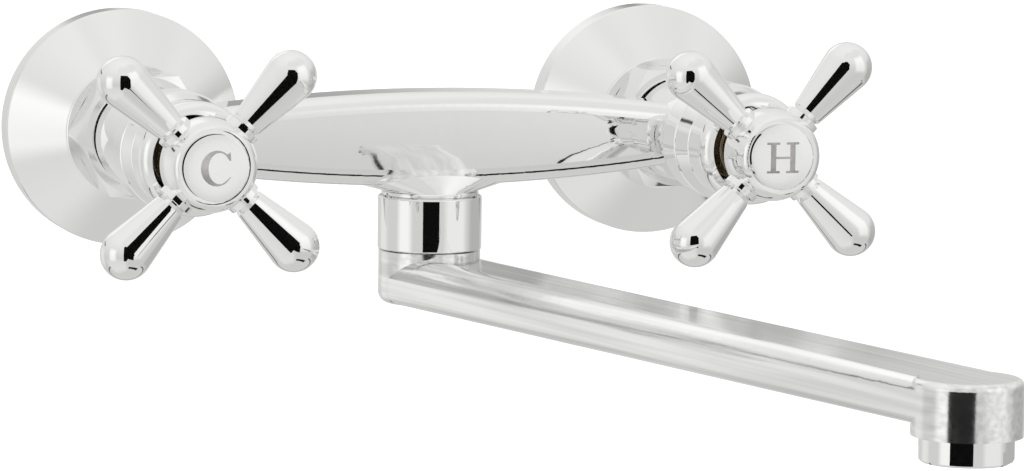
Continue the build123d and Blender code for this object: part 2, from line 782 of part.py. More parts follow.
# Spindles, turning discs and handles, which turn together; the two sides open opposite ways
for side, name, rest_angle in ((-1, "left", left_rest_angle), (1, "right", right_rest_angle)):
    axis_x = side * outlet_spacing / 2
    stop_notch_sweep = quarter_turn + stop_sweep + 2 * stop_slack
    stop_notch_angle = stop_angle + side * quarter_turn / 2

    with BuildPart() as turning_disc:
        with BuildSketch(facing_plane(axis_x, turning_disc_rear)):
            Circle(turning_disc_radius)
        extrude(amount=disc_length)
        for port_angle in (90, 270):
            port = ring_sector(
                facing_plane(axis_x, turning_disc_rear),
                port_inner_radius, port_outer_radius, port_angle, port_sweep,
            )
            extrude(port, amount=disc_length, mode=Mode.SUBTRACT)
        for leg_angle in (0, 180):
            notch = ring_sector(
                facing_plane(axis_x, turning_disc_front - leg_engagement - face_gap),
                leg_inner_radius - face_gap, leg_outer_radius + face_gap, leg_angle, leg_sweep + leg_slack,
            )
            extrude(notch, amount=leg_engagement + face_gap, mode=Mode.SUBTRACT)
    save(turning_disc, f"turning_disc_{name}")

    oring_depths = [band_front + oring_pitch * step for step in (0, 1)]
    oring_floor = stem_radius - oring_section
    with BuildPart() as spindle:
        revolve(
            turned_outline(
                turning_plane(axis_x),
                (flange_rear, 0),
                (flange_rear, flange_radius),
                (flange_front, flange_radius),
                (flange_front, stem_radius),
                (clip_rear, stem_radius),
                (clip_rear, clip_groove_radius),
                (clip_front, clip_groove_radius),
                (spline_rear, clip_groove_radius),
                (spline_rear, 0),
            ),
            axis=turning_axis(axis_x),
        )
        for leg_angle in (0, 180):
            leg = ring_sector(
                facing_plane(axis_x, turning_disc_front - leg_engagement),
                leg_inner_radius, leg_outer_radius, leg_angle, leg_sweep,
            )
            extrude(leg, amount=leg_engagement + leg_clearance)
        stop_notch = ring_sector(
            facing_plane(axis_x, flange_rear),
            stop_inner_radius - loose_gap, flange_radius + loose_gap, stop_notch_angle, stop_notch_sweep,
        )
        extrude(stop_notch, amount=flange_length, mode=Mode.SUBTRACT)
        for depth in oring_depths:
            groove_half = oring_section / 2 + oring_groove_play
            revolve(
                turned_outline(
                    turning_plane(axis_x),
                    (depth - groove_half, oring_floor),
                    (depth + groove_half, oring_floor),
                    (depth + groove_half, stem_radius + loose_gap),
                    (depth - groove_half, stem_radius + loose_gap),
                ),
                axis=turning_axis(axis_x),
                mode=Mode.SUBTRACT,
            )
        extrude(spline_outline(facing_plane(axis_x, spline_rear), 0), amount=spline_length)
        with BuildSketch(facing_plane(axis_x, screw_seat - screw_length - screw_hole_spare)):
            Circle(screw_radius + thread_gap)
        extrude(amount=screw_length + screw_hole_spare, mode=Mode.SUBTRACT)
    save(spindle, f"spindle_{name}")

    with BuildPart() as spindle_orings:
        for depth in oring_depths:
            revolve(
                oring(turning_plane(axis_x), depth, oring_floor, oring_section),
                axis=turning_axis(axis_x),
            )
    save(spindle_orings, f"spindle_orings_{name}")

    with BuildPart() as spindle_clip:
        with BuildSketch(facing_plane(axis_x, clip_rear)):
            Circle(clip_radius)
            Circle(clip_groove_radius, mode=Mode.SUBTRACT)
        extrude(amount=clip_length)
        opening = ring_sector(
            facing_plane(axis_x, clip_rear),
            clip_groove_radius - face_gap, clip_radius + loose_gap, -90, clip_opening,
        )
        extrude(opening, amount=clip_length, mode=Mode.SUBTRACT)
    save(spindle_clip, f"spindle_clip_{name}")

    with BuildPart() as handle:
        with BuildSketch(turning_plane(axis_x)):
            with BuildLine():
                belly = (hub_rear + hub_belly_length, hub_radius)
                Polyline((hub_front, 0), (hub_rear, 0), (hub_rear, hub_rear_radius))
                TangentArc(belly, (hub_rear, hub_rear_radius), tangent=(-1, 0))
                TangentArc(belly, (hub_front, hub_rim_radius), tangent=(1, 0))
                Line((hub_front, hub_rim_radius), (hub_front, 0))
            make_face()
        revolve(axis=turning_axis(axis_x))
        fillet(handle.edges().group_by(Axis.Y)[0], hub_rounding)

        # Each arm is turned about its own axis: a boss, a short neck, a taper and a round tip
        taper = math.radians(arm_taper)
        taper_end = (arm_reach - arm_tip_radius * math.sin(taper), arm_tip_radius * math.cos(taper))
        root_radius = taper_end[1] - (taper_end[0] - arm_root) * math.tan(taper)
        tip_middle = math.radians(45 - arm_taper)
        for arm in range(arm_count):
            turn = math.radians(rest_angle + 360 / arm_count * arm)
            outward = Vector(math.cos(turn), 0, math.sin(turn))
            hub_middle = Vector(axis_x, -arm_depth, axis_z)
            with BuildSketch(Plane(origin=hub_middle, x_dir=outward, z_dir=(0, -1, 0))):
                with BuildLine():
                    Polyline(
                        (arm_reach + arm_tip_radius, 0),
                        (0, 0),
                        (0, arm_boss_radius),
                        (arm_boss_end, arm_boss_radius),
                        (arm_neck_start, arm_neck_radius),
                        (arm_root, root_radius),
                        taper_end,
                    )
                    ThreePointArc(
                        taper_end,
                        (
                            arm_reach + arm_tip_radius * math.cos(tip_middle),
                            arm_tip_radius * math.sin(tip_middle),
                        ),
                        (arm_reach + arm_tip_radius, 0),
                    )
                make_face()
            revolve(axis=Axis(hub_middle, outward))

        revolve(
            turned_outline(
                turning_plane(axis_x),
                (screw_seat, 0),
                (screw_seat, cap_skirt_radius + face_gap),
                (cap_seat, cap_skirt_radius + face_gap),
                (cap_seat, cap_recess_radius),
                (hub_front, cap_recess_radius),
                (hub_front, 0),
            ),
            axis=turning_axis(axis_x),
            mode=Mode.SUBTRACT,
        )
        with BuildSketch(facing_plane(axis_x, hub_rear)):
            Circle(hub_relief_radius)
        extrude(amount=hub_relief_length, mode=Mode.SUBTRACT)
        extrude(
            spline_outline(facing_plane(axis_x, hub_rear), running_gap),
            amount=spindle_front - hub_rear,
            mode=Mode.SUBTRACT,
        )
        with BuildSketch(facing_plane(axis_x, hub_rear)):
            Circle(screw_radius + loose_gap)
        extrude(amount=hub_length, mode=Mode.SUBTRACT)
    save(handle, f"handle_{name}")

    with BuildPart() as handle_screw:
        with BuildSketch(facing_plane(axis_x, screw_seat)):
            Circle(screw_head_radius)
        extrude(amount=screw_head_length)
        fillet(handle_screw.edges().group_by(Axis.Y)[0], screw_head_rounding)
        with BuildSketch(facing_plane(axis_x, screw_seat - screw_length)):
            Circle(screw_radius)
        extrude(amount=screw_length)
        with BuildSketch(facing_plane(axis_x, screw_seat + screw_head_length - screw_key_length)):
            RegularPolygon(screw_key_flats / 2, 6, major_radius=False)
        extrude(amount=screw_key_length, mode=Mode.SUBTRACT)
    save(handle_screw, f"handle_screw_{name}")

    with BuildPart() as index_cap:
        cap_rear = cap_seat + face_gap
        cap_edge = cap_rear + cap_length
        with BuildSketch(turning_plane(axis_x)):
            with BuildLine():
                Polyline(
                    (cap_edge + cap_crown, 0),
                    (cap_rear, 0),
                    (cap_rear, cap_skirt_radius - cap_skirt_wall),
                    (cap_rear - cap_skirt_length, cap_skirt_radius - cap_skirt_wall),
                    (cap_rear - cap_skirt_length, cap_skirt_radius),
                    (cap_rear, cap_skirt_radius),
                    (cap_rear, cap_radius),
                    (cap_edge, cap_radius),
                )
                crown_radius = (cap_radius ** 2 + cap_crown ** 2) / (2 * cap_crown)
                RadiusArc((cap_edge, cap_radius), (cap_edge + cap_crown, 0), crown_radius)
            make_face()
        revolve(axis=turning_axis(axis_x))
    save(index_cap, f"index_cap_{name}")


# Swivel nut and slip ring, which stay with the body
with BuildPart() as spout_nut:
    revolve(
        turned_outline(
            swivel_plane,
            (neck_thread_radius + thread_gap, spout_nut_top),
            (spout_nut_radius, spout_nut_top),
            (spout_nut_radius, spout_nut_bottom),
            (tail_radius + loose_gap, spout_nut_bottom),
            (tail_radius + loose_gap, spout_nut_bottom + spout_nut_lip),
            (neck_thread_radius + thread_gap, spout_nut_bottom + spout_nut_lip),
        ),
        axis=swivel_axis,
    )
    nut_rims = spout_nut.edges().filter_by(GeomType.CIRCLE).filter_by(
        lambda edge: abs(edge.radius - spout_nut_radius) < same_radius
    )
    fillet(nut_rims, spout_nut_rounding)
save(spout_nut, "spout_nut")

with BuildPart() as spout_slip_ring:
    with BuildSketch(level_plane(swivel_origin, slip_ring_bottom)):
        Circle(neck_thread_radius)
        Circle(tail_radius + loose_gap, mode=Mode.SUBTRACT)
    extrude(amount=slip_ring_height)
save(spout_slip_ring, "spout_slip_ring")


# Spout: a turned tail, a round elbow, a tapering arm and a round outlet head
tail_oring_levels = [tail_top - tail_oring_setback - tail_oring_pitch * step for step in (0, 1)]
tail_oring_floor = tail_radius - tail_oring_section
with BuildPart() as spout:
    revolve(
        turned_outline(
            swivel_plane,
            (0, elbow_top),
            (elbow_radius, elbow_top),
            (elbow_radius, elbow_bottom),
            (0, elbow_bottom),
        ),
        axis=swivel_axis,
    )
    fillet(spout.edges().filter_by(GeomType.CIRCLE).group_by(Axis.Z)[0], elbow_rounding)
    loft(arm_ends())
    with BuildSketch(outlet_plane):
        with BuildLine():
            rounding_start = (head_radius, head_top - head_rounding)
            rounding_end = (head_radius - head_rounding, head_top)
            Polyline((0, head_top), (0, head_bottom), (head_radius, head_bottom), rounding_start)
            RadiusArc(rounding_start, rounding_end, -head_rounding)
            Line(rounding_end, (0, head_top))
        make_face()
    revolve(axis=outlet_axis)
    with BuildSketch(level_plane(swivel_origin, elbow_top)):
        Circle(tail_radius)
    extrude(amount=tail_height)

    # Hollow arm, elbow and head
    loft(arm_ends(spout_wall), mode=Mode.SUBTRACT)
    revolve(
        turned_outline(
            swivel_plane,
            (0, tail_top),
            (tail_bore_radius, tail_top),
            (tail_bore_radius, elbow_top - spout_wall),
            (elbow_radius - spout_wall, elbow_top - elbow_arm_drop - spout_wall),
            (elbow_radius - spout_wall, elbow_bottom + elbow_rounding),
            (elbow_radius - elbow_rounding, elbow_bottom + spout_wall),
            (0, elbow_bottom + spout_wall),
        ),
        axis=swivel_axis,
        mode=Mode.SUBTRACT,
    )
    revolve(
        turned_outline(
            outlet_plane,
            (0, head_top - spout_wall),
            (aerator_thread_radius - washer_width, head_top - spout_wall),
            (aerator_thread_radius - washer_width, washer_top),
            (aerator_thread_radius + thread_gap, washer_top),
            (aerator_thread_radius + thread_gap, head_bottom),
            (0, head_bottom),
        ),
        axis=outlet_axis,
        mode=Mode.SUBTRACT,
    )
    for level in tail_oring_levels:
        groove_half = tail_oring_section / 2 + oring_groove_play
        revolve(
            turned_outline(
                swivel_plane,
                (tail_oring_floor, level - groove_half),
                (tail_oring_floor, level + groove_half),
                (tail_radius + loose_gap, level + groove_half),
                (tail_radius + loose_gap, level - groove_half),
            ),
            axis=swivel_axis,
            mode=Mode.SUBTRACT,
        )
    revolve(
        turned_outline(
            swivel_plane,
            (tail_groove_radius, split_ring_top),
            (tail_groove_radius, split_ring_bottom),
            (tail_radius + loose_gap, split_ring_bottom),
            (tail_radius + loose_gap, split_ring_top),
        ),
        axis=swivel_axis,
        mode=Mode.SUBTRACT,
    )
save(spout, "spout")

with BuildPart() as spout_orings:
    for level in tail_oring_levels:
        with BuildSketch(swivel_plane):
            with Locations((tail_oring_floor + tail_oring_section / 2, level)):
                Circle(tail_oring_section / 2)
        revolve(axis=swivel_axis)
save(spout_orings, "spout_orings")

with BuildPart() as spout_split_ring:
    with BuildSketch(level_plane(swivel_origin, split_ring_bottom)):
        Circle(split_ring_radius)
        Circle(tail_groove_radius, mode=Mode.SUBTRACT)
        with Locations((-split_ring_radius, 0)):
            Rectangle(split_ring_radius, split_ring_opening / 2, mode=Mode.SUBTRACT)
    extrude(amount=split_ring_height)
save(spout_split_ring, "spout_split_ring")


# Aerator: a threaded housing, a plastic insert with a fine grille, and a washer
with BuildPart() as aerator_housing:
    bore_radius = aerator_thread_radius - aerator_wall
    revolve(
        turned_outline(
            outlet_plane,
            (bore_radius, aerator_top),
            (aerator_thread_radius, aerator_top),
            (aerator_thread_radius, head_bottom),
            (aerator_radius, head_bottom),
            (aerator_radius, aerator_bottom + aerator_chamfer),
            (aerator_radius - aerator_chamfer, aerator_bottom),
            (bore_radius - aerator_lip_width, aerator_bottom),
            (bore_radius - aerator_lip_width, aerator_bottom + aerator_lip_height),
            (bore_radius, aerator_bottom + aerator_lip_height),
        ),
        axis=outlet_axis,
    )
    with BuildSketch(level_plane(outlet_origin, aerator_bottom)):
        with PolarLocations(aerator_flats / 2 + aerator_radius / 2, 2, start_angle=aerator_turn):
            Rectangle(aerator_radius, 2 * aerator_radius)
    extrude(amount=aerator_flat_height, mode=Mode.SUBTRACT)
save(aerator_housing, "aerator_housing")

with BuildPart() as aerator_insert:
    insert_bottom = aerator_bottom + aerator_lip_height
    insert_radius = bore_radius - insert_gap
    with BuildSketch(level_plane(outlet_origin, insert_bottom)):
        Circle(insert_radius)
    extrude(amount=aerator_top - insert_bottom)
    with BuildSketch(level_plane(outlet_origin, insert_bottom + insert_floor)):
        Circle(insert_radius - insert_wall)
    extrude(amount=aerator_top - insert_bottom - insert_floor, mode=Mode.SUBTRACT)
    grille_radius = insert_radius - insert_wall
    with BuildSketch(level_plane(outlet_origin, insert_bottom)):
        with GridLocations(grille_pitch, grille_pitch, grille_across, grille_across) as grid:
            open_radius = grille_radius - grille_hole
            inside = [spot for spot in grid.local_locations if spot.position.length < open_radius]
        with Locations(*inside):
            Rectangle(grille_hole, grille_hole)
    extrude(amount=insert_floor, mode=Mode.SUBTRACT)
save(aerator_insert, "aerator_insert")

with BuildPart() as aerator_washer:
    with BuildSketch(level_plane(outlet_origin, aerator_top)):
        Circle(aerator_thread_radius)
        Circle(aerator_thread_radius - washer_width, mode=Mode.SUBTRACT)
    extrude(amount=washer_height)
save(aerator_washer, "aerator_washer")
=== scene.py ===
"""Finishes, wall unions, cap marks, outlet screen and studio for a wall-mounted kitchen faucet.

Lengths are in metres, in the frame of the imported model: +X right, +Y into the wall, +Z up.
Angles round the studio are read from the -Y direction towards +X, and heights above the horizon.
"""
import json
import math

import bmesh
import bpy
from bpy.props import FloatProperty, FloatVectorProperty, PointerProperty
from bpy.types import Operator, Panel, PropertyGroup
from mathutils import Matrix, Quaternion, Vector

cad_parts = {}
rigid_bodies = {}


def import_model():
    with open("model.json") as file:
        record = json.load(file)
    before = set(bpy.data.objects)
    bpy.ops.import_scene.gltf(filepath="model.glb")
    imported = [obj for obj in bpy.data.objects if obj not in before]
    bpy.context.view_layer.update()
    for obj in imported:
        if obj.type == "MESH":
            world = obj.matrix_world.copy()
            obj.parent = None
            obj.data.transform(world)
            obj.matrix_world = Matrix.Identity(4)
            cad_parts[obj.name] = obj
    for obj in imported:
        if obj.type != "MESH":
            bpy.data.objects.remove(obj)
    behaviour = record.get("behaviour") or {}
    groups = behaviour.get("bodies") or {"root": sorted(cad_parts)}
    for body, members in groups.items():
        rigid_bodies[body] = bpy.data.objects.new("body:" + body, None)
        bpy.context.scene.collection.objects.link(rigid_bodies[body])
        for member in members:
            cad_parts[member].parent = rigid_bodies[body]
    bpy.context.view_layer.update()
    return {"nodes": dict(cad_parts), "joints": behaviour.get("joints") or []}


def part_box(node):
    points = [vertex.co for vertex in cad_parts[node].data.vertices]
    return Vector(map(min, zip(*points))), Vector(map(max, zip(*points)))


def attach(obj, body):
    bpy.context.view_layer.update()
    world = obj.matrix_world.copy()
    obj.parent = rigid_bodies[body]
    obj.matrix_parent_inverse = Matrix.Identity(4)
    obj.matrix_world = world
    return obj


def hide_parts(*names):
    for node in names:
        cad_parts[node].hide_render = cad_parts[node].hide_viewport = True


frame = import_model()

bl_info = {
    "name": "Wall Faucet Looks",
    "version": (1, 0, 0),
    "blender": (4, 5, 0),
    "location": "View3D > Sidebar > Faucet",
    "description": "Finishes a wall-mounted kitchen faucet and sets up its studio",
    "category": "Object",
}

SIDES = ("left", "right")
HANDLE_AXIS_LEVEL = -0.008
OUTLET_OFFSET = 0.075
SPOUT_REST_TURN = math.radians(12.45)


def side_nodes(*names):
    """The nodes of pieces that stand on both sides."""
    return [f"{name}_{side}" for name in names for side in SIDES]


def axis_x(side):
    """Where the inlet and handle of a side stand across the wall."""
    return -OUTLET_OFFSET if side == "left" else OUTLET_OFFSET


def in_place(mesh, name, body):
    """Object at the origin that holds a finished mesh and rides on a body."""
    piece = bpy.data.objects.new(name, mesh)
    bpy.context.scene.collection.objects.link(piece)
    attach(piece, body)
    return piece


# Settings


class FinishSettings(PropertyGroup):
    """Colours and polish of the faucet's own materials."""

    chrome_color: FloatVectorProperty(
        name="Chrome", description="Tint of the chrome plate",
        subtype="COLOR", size=3, min=0, max=1, default=(0.90, 0.90, 0.893),
    )
    chrome_roughness: FloatProperty(
        name="Chrome Roughness", description="Blur of the chrome's reflections",
        subtype="FACTOR", min=0, max=1, default=0.035,
    )
    brass_color: FloatVectorProperty(
        name="Brass", description="Tint of bare turned brass",
        subtype="COLOR", size=3, min=0, max=1, default=(0.78, 0.58, 0.27),
    )
    steel_color: FloatVectorProperty(
        name="Steel", description="Tint of the stainless steel",
        subtype="COLOR", size=3, min=0, max=1, default=(0.58, 0.57, 0.55),
    )
    rubber_color: FloatVectorProperty(
        name="Rubber", description="Colour of the seals and O-rings",
        subtype="COLOR", size=3, min=0, max=1, default=(0.016, 0.016, 0.017),
    )
    acetal_color: FloatVectorProperty(
        name="Acetal", description="Colour of the white plastic rings and insert",
        subtype="COLOR", size=3, min=0, max=1, default=(0.80, 0.79, 0.75),
    )
    mark_color: FloatVectorProperty(
        name="Cap Marks", description="Paint of the marks on the handle caps",
        subtype="COLOR", size=3, min=0, max=1, default=(0.24, 0.23, 0.225),
    )


class UnionSettings(PropertyGroup):
    """Sizes of the threaded wall unions."""

    pitch: FloatProperty(
        name="Thread Pitch", description="Distance between two crests, 14 threads to the inch",
        unit="LENGTH", default=0.001814,
    )
    thread_depth: FloatProperty(
        name="Thread Depth", description="Height of the crests above the roots",
        unit="LENGTH", default=0.00116,
    )
    wall_bore: FloatProperty(
        name="Wall Bore", description="Radius of the water bore at the wall end",
        unit="LENGTH", default=0.007,
    )
    nut_bore: FloatProperty(
        name="Nut Bore", description="Radius of the water bore at the nut end",
        unit="LENGTH", default=0.0093,
    )
    bend_start: FloatProperty(
        name="Bend Start", description="Where the eccentric bend starts, out from the wall",
        unit="LENGTH", default=0.003,
    )
    bend_length: FloatProperty(
        name="Bend Length", description="Length of the eccentric bend",
        unit="LENGTH", default=0.006,
    )


class MarkSettings(PropertyGroup):
    """Sizes of the marks on the handle caps."""

    height: FloatProperty(
        name="Mark Height", description="Height of a capital letter",
        unit="LENGTH", default=0.0080,
    )
    stem: FloatProperty(
        name="Stem", description="Width of a letter's thick stroke",
        unit="LENGTH", default=0.00145,
    )
    hairline: FloatProperty(
        name="Hairline", description="Width of a letter's thin stroke",
        unit="LENGTH", default=0.0006,
    )
    thickness: FloatProperty(
        name="Paint Thickness", description="How far the marks stand proud of the caps",
        unit="LENGTH", default=0.00003,
    )


class ScreenSettings(PropertyGroup):
    """Sizes of the woven wire screen in the outlet."""

    wire: FloatProperty(
        name="Wire", description="Diameter of the wire",
        unit="LENGTH", default=0.00016,
    )
    pitch: FloatProperty(
        name="Mesh Pitch", description="Distance between neighbouring wires",
        unit="LENGTH", default=0.0006,
    )
    lift: FloatProperty(
        name="Lift", description="Height of the screen above the insert's lowest face",
        unit="LENGTH", default=0.00155,
    )
    rim: FloatProperty(
        name="Rim", description="Width of the insert's rim round the screen",
        unit="LENGTH", default=0.0014,
    )


class StudioSettings(PropertyGroup):
    """Floor, light and camera."""

    floor_level: FloatProperty(
        name="Floor Level", description="Height of the floor",
        unit="LENGTH", default=-0.30,
    )
    floor_width: FloatProperty(
        name="Floor Width", description="Side of the square floor",
        unit="LENGTH", default=400.0,
    )
    floor_color: FloatVectorProperty(
        name="Floor", description="Colour of the pale floor",
        subtype="COLOR", size=3, min=0, max=1, default=(0.92, 0.92, 0.92),
    )
    fill_strength: FloatProperty(
        name="Fill", description="Strength of the soft overhead fill",
        min=0, default=1.6,
    )
    camera_place: FloatVectorProperty(
        name="Camera Place", description="Where the camera stands",
        subtype="TRANSLATION", unit="LENGTH", size=3, default=(-0.34065, -1.22641, 0.11126),
    )
    camera_target: FloatVectorProperty(
        name="Camera Target", description="Point in the middle of the picture",
        subtype="TRANSLATION", unit="LENGTH", size=3, default=(0.01975, -0.060, -0.03367),
    )
    camera_roll: FloatProperty(
        name="Camera Roll", description="Turn of the camera about its line of sight",
        subtype="ANGLE", unit="ROTATION", default=math.radians(0.72),
    )
    focal_length: FloatProperty(
        name="Focal Length", description="Focal length in millimetres on a 36 mm sensor",
        subtype="DISTANCE_CAMERA", default=161.72,
    )


class FaucetSettings(PropertyGroup):
    """All settings of the faucet."""

    finish: PointerProperty(type=FinishSettings, name="Finishes", description="Colours and polish")
    union: PointerProperty(type=UnionSettings, name="Unions", description="Threaded wall unions")
    mark: PointerProperty(type=MarkSettings, name="Marks", description="Marks on the caps")
    screen: PointerProperty(type=ScreenSettings, name="Screen", description="Woven outlet screen")
    studio: PointerProperty(type=StudioSettings, name="Studio", description="Floor, light and camera")


# Node building


def node(tree, kind, inputs=None, **settings):
    """Add a node, set its own settings and the values of its named or numbered sockets."""
    made = tree.nodes.new(kind)
    for name, value in settings.items():
        setattr(made, name, value)
    for name, value in (inputs or {}).items():
        made.inputs[name].default_value = value
    return made


def join(tree, source, target):
    """Link an output socket to an input socket."""
    tree.links.new(source, target)


def arithmetic(tree, operation, first, second=0.0, third=0.0):
    """Math node whose operands are sockets or numbers; gives its output socket."""
    made = tree.nodes.new("ShaderNodeMath")
    made.operation = operation
    for socket, value in zip(made.inputs, (first, second, third)):
        if isinstance(value, bpy.types.NodeSocket):
            join(tree, value, socket)
        else:
            socket.default_value = value
    return made.outputs[0]


def effect(name, inputs, outputs):
    """Start a shader node group with named sockets; gives the tree, its inputs and its outputs."""
    tree = bpy.data.node_groups.new(name, "ShaderNodeTree")
    for label, default in inputs:
        kind = "NodeSocketVector" if default is None else "NodeSocketFloat"
        socket = tree.interface.new_socket(label, in_out="INPUT", socket_type=kind)
        if default is not None:
            socket.default_value = default
    for label in outputs:
        tree.interface.new_socket(label, in_out="OUTPUT", socket_type="NodeSocketFloat")
    return tree, node(tree, "NodeGroupInput").outputs, node(tree, "NodeGroupOutput").inputs


def hand_polish():
    """Soft ripple of a buffed casting, with patches of finer and duller polish."""
    tree, given, result = effect(
        "Hand Polish", [("Vector", None), ("Ripple Scale", 70.0)], ["Dullness", "Height"],
    )
    ripple = node(tree, "ShaderNodeTexNoise", {"Detail": 1.0, "Roughness": 0.4})
    join(tree, given["Vector"], ripple.inputs["Vector"])
    join(tree, given["Ripple Scale"], ripple.inputs["Scale"])
    patches = node(tree, "ShaderNodeTexNoise", {"Scale": 24.0, "Detail": 3.0, "Distortion": 0.6})
    join(tree, given["Vector"], patches.inputs["Vector"])
    hairs = node(tree, "ShaderNodeTexNoise", {"Scale": 520.0, "Detail": 2.0, "Distortion": 2.5})
    join(tree, given["Vector"], hairs.inputs["Vector"])
    faint = 0.62
    fine = arithmetic(tree, "SMOOTH_MAX", hairs.outputs["Fac"], faint, 0.05)
    fine = arithmetic(tree, "SUBTRACT", fine, faint)
    soft = arithmetic(tree, "MULTIPLY_ADD", fine, 0.6, patches.outputs["Fac"])
    join(tree, soft, result["Dullness"])
    join(tree, ripple.outputs["Fac"], result["Height"])
    return tree


def lathe_marks():
    """Fine rings left by turning about the Y axis, on faces and on cylinders alike."""
    tree, given, result = effect(
        "Lathe Marks", [("Vector", None), ("Marks per Metre", 1500.0)], ["Tone", "Height"],
    )
    parts = node(tree, "ShaderNodeSeparateXYZ")
    join(tree, given["Vector"], parts.inputs[0])
    flat = node(tree, "ShaderNodeCombineXYZ")
    join(tree, parts.outputs["X"], flat.inputs["X"])
    join(tree, parts.outputs["Z"], flat.inputs["Y"])
    length = node(tree, "ShaderNodeVectorMath", operation="LENGTH")
    join(tree, flat.outputs[0], length.inputs[0])
    along = arithmetic(tree, "ADD", length.outputs["Value"], parts.outputs["Y"])
    place = arithmetic(tree, "MULTIPLY", along, given["Marks per Metre"])
    rings = node(tree, "ShaderNodeTexNoise", {"Scale": 1.0, "Detail": 3.0}, noise_dimensions="1D")
    join(tree, place, rings.inputs["W"])
    stain = node(tree, "ShaderNodeTexNoise", {"Scale": 180.0, "Detail": 4.0, "Roughness": 0.6})
    join(tree, given["Vector"], stain.inputs["Vector"])
    tone = arithmetic(tree, "MULTIPLY_ADD", rings.outputs["Fac"], 0.35, 0.0)
    tone = arithmetic(tree, "MULTIPLY_ADD", stain.outputs["Fac"], 0.65, tone)
    join(tree, tone, result["Tone"])
    join(tree, rings.outputs["Fac"], result["Height"])
    return tree


def moulded_grain():
    """Fine pitted grain of moulded, pressed and lapped surfaces."""
    tree, given, result = effect(
        "Moulded Grain", [("Vector", None), ("Grain Scale", 2500.0)], ["Tone", "Height"],
    )
    grain = node(tree, "ShaderNodeTexNoise", {"Detail": 4.0, "Roughness": 0.65})
    join(tree, given["Vector"], grain.inputs["Vector"])
    join(tree, given["Grain Scale"], grain.inputs["Scale"])
    bloom = node(tree, "ShaderNodeTexNoise", {"Scale": 150.0, "Detail": 3.0})
    join(tree, given["Vector"], bloom.inputs["Vector"])
    tone = arithmetic(tree, "MULTIPLY", grain.outputs["Fac"], bloom.outputs["Fac"])
    tone = arithmetic(tree, "MULTIPLY", tone, 2.0)
    join(tree, tone, result["Tone"])
    join(tree, grain.outputs["Fac"], result["Height"])
    return tree


class Finish:
    """One material, with the sockets that its surface effects feed."""

    def __init__(self, name, color, roughness, metallic=0.0):
        self.material = bpy.data.materials.new(name)
        self.material.use_nodes = True
        self.tree = self.material.node_tree
        self.shader = self.tree.nodes["Principled BSDF"]
        self.shader.inputs["Base Color"].default_value = (*color, 1)
        self.shader.inputs["Roughness"].default_value = roughness
        self.shader.inputs["Metallic"].default_value = metallic
        self.place = node(self.tree, "ShaderNodeTexCoord").outputs["Object"]

    def turned_about(self):
        """Place of a surface from its side's inlet axis; both sides share one pattern."""
        parts = node(self.tree, "ShaderNodeSeparateXYZ")
        join(self.tree, self.place, parts.inputs[0])
        across = arithmetic(self.tree, "ABSOLUTE", parts.outputs["X"])
        across = arithmetic(self.tree, "SUBTRACT", across, OUTLET_OFFSET)
        level = arithmetic(self.tree, "SUBTRACT", parts.outputs["Z"], HANDLE_AXIS_LEVEL)
        folded = node(self.tree, "ShaderNodeCombineXYZ")
        join(self.tree, across, folded.inputs["X"])
        join(self.tree, parts.outputs["Y"], folded.inputs["Y"])
        join(self.tree, level, folded.inputs["Z"])
        return folded.outputs[0]

    def mapped(self, **changes):
        """Place of a surface, centred, turned or stretched for its own pattern."""
        own = node(self.tree, "ShaderNodeMapping", changes, vector_type="TEXTURE")
        join(self.tree, self.place, own.inputs["Vector"])
        return own.outputs[0]

    def surface(self, group, place, name, value):
        """Lay a surface effect over the material; gives its outputs."""
        laid = node(self.tree, "ShaderNodeGroup", node_tree=group)
        laid.inputs[name].default_value = value
        join(self.tree, place, laid.inputs["Vector"])
        return laid.outputs

    def vary_roughness(self, mask, low, high):
        """Let a mask move the roughness between two values."""
        spread = node(self.tree, "ShaderNodeMapRange", {"To Min": low, "To Max": high})
        join(self.tree, mask, spread.inputs["Value"])
        join(self.tree, spread.outputs[0], self.shader.inputs["Roughness"])

    def vary_color(self, mask, dark, light):
        """Let a mask move the colour between two tones."""
        ramp = node(self.tree, "ShaderNodeValToRGB")
        ramp.color_ramp.elements[0].position = 0.3
        ramp.color_ramp.elements[1].position = 0.7
        ramp.color_ramp.elements[0].color = (*dark, 1)
        ramp.color_ramp.elements[1].color = (*light, 1)
        join(self.tree, mask, ramp.inputs["Fac"])
        join(self.tree, ramp.outputs["Color"], self.shader.inputs["Base Color"])

    def raise_height(self, height, depth):
        """Bump the surface by a height whose full range is a depth in metres."""
        bump = node(self.tree, "ShaderNodeBump", {"Strength": 1.0, "Distance": depth})
        join(self.tree, height, bump.inputs["Height"])
        join(self.tree, bump.outputs["Normal"], self.shader.inputs["Normal"])

    def coat(self, objects):
        """Give the finished material to objects in place of what they have."""
        for piece in objects:
            piece.data.materials.clear()
            piece.data.materials.append(self.material)


def shade(color, factor):
    """A colour made lighter or darker by a factor."""
    return tuple(min(1.0, channel * factor) for channel in color)


def tree_effect(maker):
    """The node group that a maker builds, built once."""
    made = bpy.data.node_groups.get(maker.__name__.replace("_", " ").title())
    return made or maker()


# Finishes


